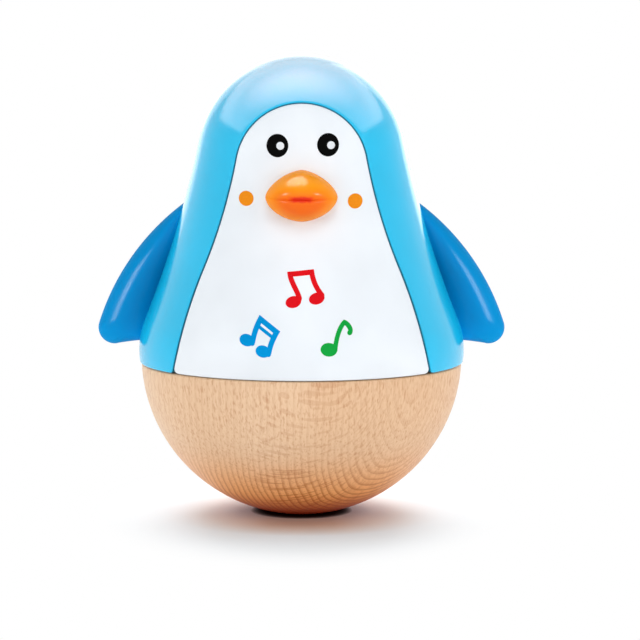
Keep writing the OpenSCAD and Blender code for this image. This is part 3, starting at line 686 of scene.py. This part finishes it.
def plastic(name, tint, roughness=0.16, spread=0.05, ior=1.53, soft=0.0, seam_shade=None, shine=0.5,
            coat=0.0, peel=0.12):
    """Moulded plastic: an even tint with a faint cloudiness, an uneven gloss and fine orange peel.

    It darkens to a darker tint by the seam share, a painted shade where little light gets in. Where
    its own shine is off, a thin clear coat gives a weaker gloss that doesn't burn out along an edge.
    """
    material, node, place = start_material(name)
    cloud, smear, dimple = (
        node("TexNoise", {"Vector": place, "Scale": 1 / size, "Detail": detail}, "Fac")
        for size, detail in ((18 * MM, 2), (6 * MM, 4), (2.5 * MM, 2)))
    seam = node("Attribute", out="Fac", attribute_name="seam")
    cloud = node("MapRange", (cloud, 0.3, 0.7))
    tone = node("Mix", {0: cloud, 6: shaded(tint, 0.94), 7: tint}, 2, **COLOUR)
    # Painted shade: the tint darkens by the seam share
    tone = node("Mix", {0: seam, 6: tone, 7: seam_shade or shaded(tint, 0.35)}, 2, **COLOUR)
    gloss = node("MapRange", (smear, 0.3, 0.7, roughness, roughness + spread))
    bump = node("Bump", {"Strength": peel, "Distance": 0.02 * MM, "Height": dimple})
    shader = node("BsdfPrincipled", {
        "Base Color": tone, "Roughness": gloss, "IOR": ior, "Normal": bump,
        "Specular IOR Level": shine, "Coat Weight": coat, "Coat Roughness": roughness,
        "Subsurface Weight": soft, "Subsurface Radius": (1, 1, 1), "Subsurface Scale": 0.6 * MM})
    node("OutputMaterial", {"Surface": shader})
    return material


def bill_plastic(name, upper, lower, mouth, mouth_z):
    """Orange plastic with a deeper painted shade in the lower bill and a short red one along the mouth
    line.

    The deeper tint is painted shade of the lower bill and of the upper bill's underside. It gives way to
    the upper one towards the bill's rim, a painted rim light, by the distance from the middle of the
    mouth in shares of the bill's half width and of its height. The red along the mouth line is painted
    shade, the colour of light bounced inside the crease. A thin clear coat gives the gloss.
    """
    half_width, rim_height = 9.2 * MM, 6.6 * MM
    material, node, place = start_material(name)
    middle = node("VectorMath", (place, (0, 0, mouth_z)), operation="SUBTRACT")
    x, _, rise = node("SeparateXYZ", (middle,)).node.outputs
    wavy, smear, dimple = (
        node("TexNoise", {"Vector": place, "Scale": 1 / size, "Detail": detail}, "Fac")
        for size, detail in ((1.5 * MM, 3), (4 * MM, 4), (2 * MM, 2)))
    # Painted shade: the deeper tint holds below the mouth and under the upper bill's overhang
    above = node("MapRange", (rise, -0.5 * MM, 4.0 * MM), **SMOOTH)
    # Painted rim light: the upper tint comes back towards the bill's rim
    out = node("VectorMath", (middle, (1 / half_width, 0, 1 / rim_height)), operation="MULTIPLY")
    out = node("VectorMath", (out,), "Value", operation="LENGTH")
    rim = node("MapRange", (out, 0.45, 0.95, 0, 0.85), **SMOOTH)
    # Painted crease shade: red where light bounces inside the mouth groove
    wander = node("MapRange", (wavy, 0.3, 0.7, -0.15 * MM, 0.15 * MM))
    off = node("Math", (rise, wander), operation="ADD")
    off = node("Math", (off,), operation="ABSOLUTE")
    aside = node("Math", (x,), operation="ABSOLUTE")
    near = node("MapRange", (off, 0.3 * MM, 1.0 * MM, 0.95, 0), **SMOOTH)
    short = node("MapRange", (aside, 1.6 * MM, 3.6 * MM, 1, 0), **SMOOTH)
    crease_shade = node("Math", (near, short), operation="MULTIPLY")
    tone = lower
    for share, tint in ((above, upper), (rim, upper), (crease_shade, mouth)):
        tone = node("Mix", {0: share, 6: tone, 7: tint}, 2, **COLOUR)
    gloss = node("MapRange", (smear, 0.3, 0.7, 0.34, 0.40))
    peel = node("Bump", {"Strength": 0.12, "Distance": 0.02 * MM, "Height": dimple})
    shader = node("BsdfPrincipled", {
        "Base Color": tone, "Roughness": gloss, "IOR": 1.5, "Specular IOR Level": 0.0,
        "Normal": peel, "Coat Normal": peel, "Coat Weight": 0.3, "Coat Roughness": 0.21})
    node("OutputMaterial", {"Surface": shader})
    return material


def ink(name, tint, roughness=0.28):
    """Pad-printed ink: a flat solid tint with a slightly duller sheen than the plastic under it."""
    material, node, place = start_material(name)
    grain = node("TexNoise", {"Vector": place, "Scale": 1 / (0.5 * MM), "Detail": 3}, "Fac")
    dense = node("MapRange", (grain, 0.3, 0.7))
    tone = node("Mix", {0: dense, 6: shaded(tint, 0.93), 7: tint}, 2, **COLOUR)
    gloss = node("MapRange", (grain, 0.3, 0.7, roughness, roughness + 0.08))
    shader = node("BsdfPrincipled", {
        "Base Color": tone, "Roughness": gloss, "IOR": 1.5, "Specular IOR Level": 0.03})
    node("OutputMaterial", {"Surface": shader})
    return material


def metal(name, tint, roughness, stretch=1):
    """Bare metal: its colour is all reflection, broken up by fine marks along the way it was worked."""
    material, node, place = start_material(name)
    mark = 0.6 * MM
    along = node("Mapping", {"Vector": place, "Scale": (1 / mark, 1 / mark, 1 / (mark * stretch))})
    marks = node("TexNoise", {"Vector": along, "Scale": 1.0, "Detail": 4}, "Fac")
    gloss = node("MapRange", (marks, 0.3, 0.7, roughness, roughness + 0.15))
    tone = node("Mix", {0: marks, 6: shaded(tint, 0.85), 7: tint}, 2, **COLOUR)
    bump = node("Bump", {"Strength": 0.2, "Distance": 0.01 * MM, "Height": marks})
    shader = node("BsdfPrincipled", {
        "Base Color": tone, "Metallic": 1.0, "Roughness": gloss, "Normal": bump})
    node("OutputMaterial", {"Surface": shader})
    return material


def beech(name, pale, dark, end_grain, foot):
    """Lacquered beech, grain upright: year rings about a pith at the front right, and dark rays.

    A ray is a thin upright blade that points at the pith. It shows as a short upright fleck on the
    sides, as a bar across the front and as a line across the rings near the foot. There the surface
    cuts across the grain, and the lacquer sinks in and deepens the tint; this end-grain tint also
    stands in as painted shade for the darker underside. Round the foot lies a dark red-brown painted
    contact shade, where the ball meets the floor.
    """
    pith = (33 * MM, -36 * MM, 0)
    year_width, waver_by = 1.6 * MM, 1.5 * MM
    ray_length, ray_height, rays_per_radian = 12 * MM, 2.4 * MM, 60.0
    brown = tuple(0.42 * a * b for a, b in zip(dark, (1.6, 0.78, 0.3)))
    material, node, place = start_material(name)
    off_pith = node("VectorMath", (place, pith), operation="SUBTRACT")
    right, back, height = node("SeparateXYZ", (off_pith,)).node.outputs
    # Patterns drawn out along the grain: size across it in mm, detail, and length along it per width
    patterns = []
    for size, detail, stretch in ((14, 1.5, 3), (30, 2, 3), (0.45, 2, 5), (0.25, 2, 8)):
        across = 1 / (size * MM)
        along = node("Mapping", {"Vector": place, "Scale": (across, across, across / stretch)})
        patterns.append(node("TexNoise", {"Vector": along, "Scale": 1.0, "Detail": detail}, "Fac"))
    waver, broad, fleck, pores = patterns
    far = node("VectorMath", (node("CombineXYZ", (right, back)),), "Value", operation="LENGTH")
    turn = node("Math", (right, back), operation="ARCTAN2")
    low = node("MapRange", (height, 2 * MM, 22 * MM, 1, 0), **SMOOTH)
    # Late wood: the dark last part of each year, stronger towards the foot
    waver = node("MapRange", (waver, 0, 1, -waver_by, waver_by))
    year = node("Math", (far, waver), operation="ADD")
    year = node("Math", (year, year_width), operation="DIVIDE")
    year = node("Math", (year,), operation="FRACT")
    late = node("MapRange", (year, 0.45, 0.95), **SMOOTH)
    late_share = node("MapRange", (low, 0, 1, 0.12, 0.78))
    # Rays: stretched cells in the distance from the pith, the turn about it and the height
    ray_scale = (1 / ray_length, rays_per_radian, 1 / ray_height)
    cells = node("VectorMath", (node("CombineXYZ", (far, turn, height)), ray_scale), operation="MULTIPLY")
    cell = node("TexVoronoi", {"Vector": cells, "Scale": 1.0}, "Distance")
    near_pith = node("MapRange", (far, 40 * MM, 50 * MM, 1, 0), **SMOOTH)
    ray = node("MapRange", (cell, 0.30, 0.42, 1, 0), **SMOOTH)
    ray = node("Math", (ray, near_pith), operation="MULTIPLY")
    ray_share = node("MapRange", (low, 0, 1, 0.18, 0.6))
    dashes = node("MapRange", (fleck, 0.52, 0.68))
    dash_share = node("MapRange", (far, 25 * MM, 50 * MM, 0.32, 0.36))
    layers = (
        (node("MapRange", (broad, 0.3, 0.7, 0, 0.35)), dark),
        # End grain towards the foot, also a painted shade of the ball's underside
        (node("Math", (low, 0.9), operation="MULTIPLY"), end_grain),
        (node("Math", (late, late_share), operation="MULTIPLY"), brown),
        (node("Math", (ray, ray_share), operation="MULTIPLY"), brown),
        (node("Math", (dashes, dash_share), operation="MULTIPLY"), brown),
        (node("MapRange", (pores, 0.5, 0.75, 0, 0.16)), brown),
        # Painted contact shade round the foot, in the lowest few mm
        (node("MapRange", (height, 0.5 * MM, 9 * MM, 0.95, 0), **SMOOTH), foot))
    tone = pale
    for share, tint in layers:
        tone = node("Mix", {0: share, 6: tone, 7: tint}, 2, **COLOUR)
    relief = node("Math", (pores, dashes), operation="SUBTRACT")
    bump = node("Bump", {"Strength": 0.15, "Distance": 0.03 * MM, "Height": relief})
    gloss = node("MapRange", (pores, 0.3, 0.7, 0.38, 0.5))
    shader = node("BsdfPrincipled", {
        "Base Color": tone, "Roughness": gloss, "IOR": 1.5, "Specular IOR Level": 0.15,
        "Normal": bump, "Coat Weight": 0.15, "Coat Roughness": 0.25})
    node("OutputMaterial", {"Surface": shader})
    return material


class Builder(bpy.types.Operator):
    """Shared options of the operators that build the toy"""

    bl_options = {"REGISTER", "UNDO"}


class TOY_OT_base(Builder):
    """Turns the beech base"""

    bl_idname = "toy.base"
    bl_label = "Wooden base"

    def execute(self, context):
        tints = context.scene.toy_colours
        points, faces = lathe(base_profile(context.scene.toy_form), 192)
        wood = beech("lacquered_beech", tints.beech_pale, tints.beech_dark, tints.beech_end,
                     tints.beech_contact_shade)
        piece = make_piece("turned_base", points, faces, wood)
        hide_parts("wooden_base")
        return {"FINISHED"}


class TOY_OT_shells(Builder):
    """Moulds the blue hood and the white panel, with rolled edges along their seam"""

    bl_idname = "toy.shells"
    bl_label = "Hood and panel"

    def execute(self, context):
        scene = context.scene
        form, panel, tints = scene.toy_form, scene.toy_panel, scene.toy_colours
        # Both shells take a painted shade on the walls of their seam, where the narrow gap is dark
        points, faces, seam = hood_surface(form, panel)
        blue = plastic("glossy_blue_abs", tints.hood, 0.12, 0.05, 1.46)
        piece = make_piece("hood", points, faces, blue, seam)
        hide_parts("back_shell")
        points, faces, seam = panel_surface(form, panel, mouth_height(form, scene.toy_features))
        # The panel's seam shade is painted in a dark teal
        white = plastic("glossy_white_abs", tints.panel, 0.28, 0.06, soft=0.1, seam_shade=linear("#2F7488"))
        piece = make_piece("front_panel", points, faces, white, seam)
        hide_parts("face_shell")
        return {"FINISHED"}


class TOY_OT_beak(Builder):
    """Moulds the orange beak with its painted mouth groove"""

    bl_idname = "toy.beak"
    bl_label = "Beak"

    def execute(self, context):
        scene = context.scene
        form, features, tints = scene.toy_form, scene.toy_features, scene.toy_colours
        points, faces = beak_surface(form, scene.toy_panel, features)
        orange = bill_plastic("orange_abs", tints.beak, tints.bill, tints.mouth,
                              mouth_height(form, features))
        piece = make_piece("bill", points, faces, orange)
        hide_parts("beak")
        return {"FINISHED"}


class TOY_OT_wings(Builder):
    """Moulds the two wings"""

    bl_idname = "toy.wings"
    bl_label = "Wings"

    def execute(self, context):
        scene = context.scene
        deep_blue = plastic("deep_blue_abs", scene.toy_colours.wing, 0.19, 0.05, 1.5, shine=0.0,
                            coat=0.14, peel=0.02)
        for side, name, node in ((1, "flipper_left", "wing_left"), (-1, "flipper_right", "wing_right")):
            points, faces, seam = wing_surface(scene.toy_form, scene.toy_features, side)
            piece = make_piece(name, points, faces, deep_blue, seam)
            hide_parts(node)
        return {"FINISHED"}


class TOY_OT_face(Builder):
    """Prints the eyes, their glints and the cheeks"""

    bl_idname = "toy.face"
    bl_label = "Printed face"

    def execute(self, context):
        scene = context.scene
        features, tints = scene.toy_features, scene.toy_colours
        body = body_bell(scene.toy_form)
        black = ink("black_ink", tints.eye, 0.2)
        white = ink("white_ink", linear("#E6ECF2"))
        orange = ink("orange_ink", tints.cheek)
        # Middles of the marks across the toy and above the floor, in mm
        eyes = ((-5.84, 93.75), (6.44, 93.94))
        glints = ((-5.13, 93.69), (7.15, 93.83))
        cheeks = ((-13.42, 80.97), (13.02, 80.37))
        marks = (("eye", eyes, features.eye_width, features.eye_height, black, 1),
                 ("glint", glints, features.glint, features.glint, white, 2),
                 ("cheek", cheeks, features.cheek, features.cheek, orange, 1))
        for name, places, wide, tall, material, lift in marks:
            for place, side in zip(places, ("right", "left")):
                flat = disc(np.array(place) * MM, wide / 2, tall / 2)
                points, faces = print_patch(body, flat, scene.toy_panel.step, features.ink, lift, True)
                make_piece(f"{name}_{side}", points, faces, material)
        return {"FINISHED"}


class TOY_OT_notes(Builder):
    """Prints the three musical notes"""

    bl_idname = "toy.notes"
    bl_label = "Printed notes"

    def heads(self, places, wide, tall, lean):
        """Grids of the leaned oval heads of notes, in mm."""
        return [(disc(at, wide / 2, tall / 2, lean), True) for at in places]

    def frame_line(self, left, right, beam, foot):
        """Grid of two bowed stems and the beam between their tops, in one mitred band, in mm."""
        up, down = smooth_line(left)[::-1], smooth_line(right)
        over = np.linspace(up[-1], down[0], 14)[1:-1]
        rise = np.linspace(foot, beam, len(up))
        widths = np.concatenate([rise, np.full(len(over), beam), rise[::-1]])
        return [(band(np.concatenate([up, over, down]), widths), False)]

    def execute(self, context):
        scene = context.scene
        features, tints = scene.toy_features, scene.toy_colours
        body = body_bell(scene.toy_form)
        red = (self.frame_line([(-2.75, 63.3), (-2.21, 61.46), (-1.31, 59.61), (-0.5, 57.7)],
                               [(2.45, 63.8), (2.89, 61.95), (3.66, 60.21), (4.75, 58.6)], 1.25, 1.2)
               + self.heads([(-1.95, 56.82), (3.66, 57.62)], 3.8, 2.75, 14)
               + self.heads([(-0.68, 57.55), (4.75, 58.25)], 1.5, 1.7, -25))
        blue = (self.frame_line([(-9.85, 52.75), (-10.61, 51.21), (-11.24, 49.48), (-11.75, 47.3)],
                                [(-5.95, 49.8), (-6.77, 48.25), (-7.4, 46.64), (-7.85, 44.8)], 1.3, 1.25)
                + [(band(np.linspace((-10.5, 51.2), (-6.7, 48.4), 9), 0.8), False)]
                + self.heads([(-13.15, 47.77), (-9.26, 45.23)], 3.5, 2.85, -14)
                + self.heads([(-11.9, 47.25), (-8.0, 44.75)], 1.4, 1.6, 20))
        stem = smooth_line([(10.3, 52.0), (9.3, 50.51), (8.6, 48.82), (8.22, 46.87), (8.05, 45.6)])
        flag = smooth_line([(10.3, 52.0), (11.15, 51.35), (11.7, 50.4), (11.6, 49.6)])
        green = ([(band(np.concatenate([stem[::-1], flag[1:]]), 1.1), False)]
                 + self.heads([(6.56, 45.71)], 4.0, 3.2, -8)
                 + self.heads([(8.0, 45.6)], 1.2, 1.4, 0)
                 + self.heads([(11.58, 49.55)], 1.2, 1.2, 0))
        inks = (("notes_red", red, tints.note_red), ("notes_blue", blue, tints.note_blue),
                ("note_green", green, tints.note_green))
        # Each grid of a note lies a little over the last, so that no two films share a face
        over = 0.12
        for name, grids, tint in inks:
            parts = [print_patch(body, flat * MM, scene.toy_panel.step, features.ink, 1 + over * k, cyclic)
                     for k, (flat, cyclic) in enumerate(grids)]
            make_piece(name, *join(parts), ink(name + "_ink", tint))
        return {"FINISHED"}


class TOY_OT_chime(Builder):
    """Gives the chime, ballast, deck and screws inside the body their materials"""

    bl_idname = "toy.chime"
    bl_label = "Chime inside"

    def execute(self, context):
        steel = metal("drawn_steel", linear("#C9CDD1"), 0.22, 8)
        zinc = metal("cast_zinc", linear("#9EA3A8"), 0.4)
        brass = metal("polished_brass", linear("#C8A24A"), 0.16)
        ballast = metal("sawn_steel", linear("#8C9094"), 0.38)
        screws = metal("plated_steel", linear("#B9BCBE"), 0.28)
        deck = plastic("white_deck_plastic", linear("#E9ECEF"), 0.35)
        grey = plastic("grey_bridge_plastic", linear("#D7DBE0"), 0.35)
        nylon = plastic("blue_nylon", linear("#3E8FCB"), 0.45)
        finish = {"ballast_weight": ballast, "deck_plate": deck, "bridge": grey, "tone_block": zinc,
                  "swing_link": nylon, "clapper_stem": steel, "clapper_ball": brass,
                  "link_pin": screws, "clapper_pin": screws}
        for name, node in frame["nodes"].items():
            if name.startswith("tone_pin"):
                finish[name] = steel
            elif name.endswith(("screw", "screws")):
                finish[name] = screws
            if name in finish:
                node.data.materials.clear()
                node.data.materials.append(finish[name])
        return {"FINISHED"}


class TOY_OT_stage(Builder):
    """Sets the white floor, the soft lights and the camera"""

    bl_idname = "toy.stage"
    bl_label = "Stage"

    def lamp(self, name, place, aim, wide, tall, radiance, lights=True, shines=True, only=(),
             tint=(1, 1, 1), shape="RECTANGLE", fade=None):
        """A soft light of a given brightness that looks at a point.

        It can be left out of what lights a surface, or out of what shines back from one, and it can
        be flagged off from all but a few objects. A fade dims it away from a point of its face: it
        gives that point, the weights of the distances across and along the face, the two weighted
        distances between which it dims, and the least brightness.
        """
        light = bpy.data.lights.new(name, "AREA")
        light.shape = shape
        light.size, light.size_y = wide, tall
        light.color = tint
        light.energy = radiance * math.pi * wide * tall
        holder = bpy.data.objects.new(name, light)
        holder.location = place
        holder.rotation_euler = (Vector(aim) - Vector(place)).to_track_quat("-Z", "Y").to_euler()
        holder.visible_diffuse, holder.visible_glossy = lights, shines
        bpy.context.scene.collection.objects.link(holder)
        if fade:
            brightest, weights, first, last, least = fade
            light.use_nodes = True
            node = partial(add, light.node_tree)
            face = node("NewGeometry", out="Parametric")
            off = node("VectorMath", (face, (*brightest, 0)), operation="SUBTRACT")
            off = node("VectorMath", (off, (*weights, 0)), operation="MULTIPLY")
            far = node("VectorMath", (off,), "Value", operation="LENGTH")
            glow = node("MapRange", (far, first, last, 1, least), **SMOOTH)
            light.node_tree.links.new(glow, light.node_tree.nodes["Emission"].inputs["Strength"])
        if only:
            reached = bpy.data.collections.new(name)
            for piece in only:
                reached.objects.link(piece)
            holder.light_linking.receiver_collection = reached

    def backdrop_rays(self, node):
        """1 for rays that show the backdrop: from the camera, a gloss or a clear piece."""
        path = node("LightPath").node.outputs
        mirrored = node("Math", (path["Is Glossy Ray"], path["Is Transmission Ray"]), operation="MAXIMUM")
        return node("Math", (path["Is Camera Ray"], mirrored), operation="MAXIMUM")

    def floor(self):
        """A white floor that keeps the shadow near the toy and fades to plain white further off.

        Under the toy a warm shade is painted in by the wide occlusion, most in front, and a nearly black
        contact shadow is painted where the foot meets it. The shadow fades by the distance from the foot,
        with more weight across the toy than along it. The light that the floor sends back to the toy
        comes from a plain grey.
        """
        contact, overhang, side_weight = 1.6 * MM, 14 * MM, 1.5
        pale, warm_shade, dark, hidden = (linear(c) for c in ("#EBF5FE", "#C29468", "#1C0804", "#E1E1E1"))
        material, node, place = start_material("white_floor")
        x, y, _ = node("SeparateXYZ", (place,)).node.outputs
        seen = self.backdrop_rays(node)
        open_near = node("AmbientOcclusion", {"Distance": contact}, "AO")
        open_wide = node("AmbientOcclusion", {"Distance": overhang}, "AO")
        front = node("MapRange", (y, -20 * MM, 0, 1, 0.3))
        aside = node("MapRange", (node("Math", (x,), operation="ABSOLUTE"), 8 * MM, 30 * MM, 1, 0.2))
        # Painted shadow: a warm shade under the overhang and a near-black one at the contact
        under = node("Math", (1.0, open_wide), operation="SUBTRACT")
        for part in (front, aside):
            under = node("Math", (under, part), operation="MULTIPLY")
        clear = node("Math", (open_near, 3.0), operation="POWER")
        tone = node("Mix", {0: under, 6: pale, 7: warm_shade}, 2, **COLOUR)
        tone = node("Mix", {0: clear, 6: dark, 7: tone}, 2, **COLOUR)
        tone = node("Mix", {0: seen, 6: hidden, 7: tone}, 2, **COLOUR)
        oval = node("VectorMath", (place, (side_weight, 1, 1)), operation="MULTIPLY")
        far = node("VectorMath", (oval,), "Value", operation="LENGTH")
        fade = node("MapRange", (far, 30 * MM, 80 * MM), **SMOOTH)
        share = node("Math", (seen, fade), operation="MULTIPLY")
        matt = node("BsdfDiffuse", {"Color": tone})
        white = node("Emission", {"Color": (1, 1, 1), "Strength": 1.0})
        node("OutputMaterial", {"Surface": node("MixShader", (share, matt, white))})
        half = 40
        mesh = bpy.data.meshes.new("floor")
        mesh.from_pydata([(-half, -half, 0), (half, -half, 0), (half, half, 0), (-half, half, 0)],
                         [], [(0, 1, 2, 3)])
        mesh.materials.append(material)
        floor = bpy.data.objects.new("floor", mesh)
        bpy.context.scene.collection.objects.link(floor)
        return floor

    def studio(self):
        """A world that looks white and gives only a little light of its own."""
        world = bpy.data.worlds.new("studio")
        world.use_nodes = True
        world.node_tree.nodes.clear()
        node = partial(add, world.node_tree)
        glow = node("MapRange", (self.backdrop_rays(node), 0, 1, 0.2, 1.0))
        back = node("Background", {"Color": (1, 1, 1), "Strength": glow})
        node("OutputWorld", {"Surface": back})
        bpy.context.scene.world = world

    def lights(self, floor):
        """Softboxes that light the toy, and cards and strips that only show as reflections."""
        pieces = bpy.data.objects
        hood, bill, front = pieces["hood"], pieces["bill"], pieces["front_panel"]
        flippers = [pieces["flipper_left"], pieces["flipper_right"]]
        toy = [hood, bill, *flippers, front, pieces["turned_base"]]
        meshes = [piece for piece in bpy.context.scene.objects if piece.type == "MESH"]
        others = [piece for piece in meshes if piece is not front]
        middle, foot = (0, 0, 0.07), (0, 0, 0)
        fill = partial(self.lamp, shines=False)
        card = partial(self.lamp, lights=False)
        for side, name, radiance, rim in ((1, "right", 5.2, 1.5), (-1, "left", 4.5, 0.8)):
            fill(f"{name}_softbox", (side * 1.05, -0.65, 0.15), middle, 0.8, 0.8, radiance)
            fill(f"back_{name}_softbox", (side * 0.7, 1.05, 0.25), middle, 0.8, 0.8, 2.8, only=toy)
            fill(f"floor_{name}", (side * 0.9, 0.35, 0.55), foot, 0.6, 0.6, 2.6, only=[floor])
            card(f"{name}_strip", (side * 0.85, -0.85, 0.28), middle, 0.45, 0.45, 25.0, only=flippers)
            card(f"{name}_bill_strip", (side * 1.0, -0.65, 0.35), middle, 0.3, 0.3, 30.0, only=[bill])
            card(f"{name}_flank_strip", (side * 0.48, 1.1, 0.45), (0, 0, 0.45), 0.5, 0.9, rim, only=[hood])
        fill("front_fill", (0, -1.3, 0.3), middle, 0.9, 0.9, 1.9, only=others)
        fill("panel_top", (0, -0.75, 0.85), middle, 0.5, 0.5, 4.4, only=[front])
        fill("floor_back", (0, 0.75, 0.75), foot, 0.9, 0.9, 5.6, only=[floor])
        card("bill_box", (-0.17, 0.22, 1.08), middle, 0.9, 1.1, 11.0, only=[bill], shape="ELLIPSE")
        fill("bill_top", (0, -0.2, 1.0), middle, 0.6, 0.6, 2.6, only=[bill])
        card("ceiling", (0, 0.4, 1.0), (0, 0.4, 0), 4.0, 2.0, 4.0, only=[hood],
             tint=(1.0, 0.79, 0.75), fade=((0.5, 0.45), (0, 1), 0.15, 0.6, 0.4))
        card("ceiling_middle", (-0.07, 0.05, 0.98), (-0.07, 0.05, 0), 2.2, 1.4, 8.4, only=[hood],
             tint=(1.0, 0.63, 0.56), fade=((0.5, 0.5), (2, 2), 0.0, 1.0, 0.0))
        card("crown_card", (0, 1.4, 0.56), (0, 0, 0.56), 1.5, 0.88, 1.5, only=[hood],
             tint=(1.0, 0.91, 0.88), fade=((0.5, 0.5), (2, 0), 0.2, 1.0, 0.0))

    def camera(self):
        """A camera a little above the crown, shifted so that the toy stands left of the middle."""
        away, rise, dip, frame_px, shift_px = 0.8, 0.13848, math.radians(6.421), 640, 18.5
        camera = bpy.data.cameras.new("camera")
        camera.sensor_width, camera.lens = 36, 180
        camera.shift_x = shift_px / frame_px
        camera.clip_start, camera.clip_end = 0.05, 100
        holder = bpy.data.objects.new("camera", camera)
        holder.location = (0, -away, rise)
        holder.rotation_euler = (math.pi / 2 - dip, 0, 0)
        bpy.context.scene.collection.objects.link(holder)
        bpy.context.scene.camera = holder

    def execute(self, context):
        floor = self.floor()
        self.studio()
        self.lights(floor)
        self.camera()
        context.scene.view_settings.view_transform = "Standard"
        return {"FINISHED"}


OPERATORS = (TOY_OT_base, TOY_OT_shells, TOY_OT_beak, TOY_OT_wings, TOY_OT_face, TOY_OT_notes,
             TOY_OT_chime, TOY_OT_stage)
GROUPS = (("toy_form", ToyForm), ("toy_panel", ToyPanel), ("toy_features", ToyFeatures),
          ("toy_colours", ToyColours))


class TOY_PT_panel(bpy.types.Panel):
    """Sizes, colours and building steps of the toy"""

    bl_label = "Roly-poly"
    bl_space_type = "VIEW_3D"
    bl_region_type = "UI"
    bl_category = "Roly-poly"

    def draw(self, context):
        for name, group in GROUPS:
            box = self.layout.box()
            box.label(text=group.__doc__)
            settings = getattr(context.scene, name)
            for key in group.__annotations__:
                box.prop(settings, key)
        for operator in OPERATORS:
            self.layout.operator(operator.bl_idname)


def register():
    for name, group in GROUPS:
        bpy.utils.register_class(group)
        setattr(bpy.types.Scene, name, PointerProperty(type=group))
    for operator in OPERATORS:
        bpy.utils.register_class(operator)
    bpy.utils.register_class(TOY_PT_panel)


def unregister():
    bpy.utils.unregister_class(TOY_PT_panel)
    for operator in reversed(OPERATORS):
        bpy.utils.unregister_class(operator)
    for name, group in reversed(GROUPS):
        delattr(bpy.types.Scene, name)
        bpy.utils.unregister_class(group)


def main():
    register()
    form = bpy.context.scene.toy_form
    form.rim_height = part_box("wooden_base")[1].z
    form.crown_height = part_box("back_shell")[1].z
    bpy.ops.toy.base()
    bpy.ops.toy.shells()
    bpy.ops.toy.beak()
    bpy.ops.toy.wings()
    bpy.ops.toy.face()
    bpy.ops.toy.notes()
    bpy.ops.toy.chime()
    bpy.ops.toy.stage()


if __name__ == "__main__":
    main()
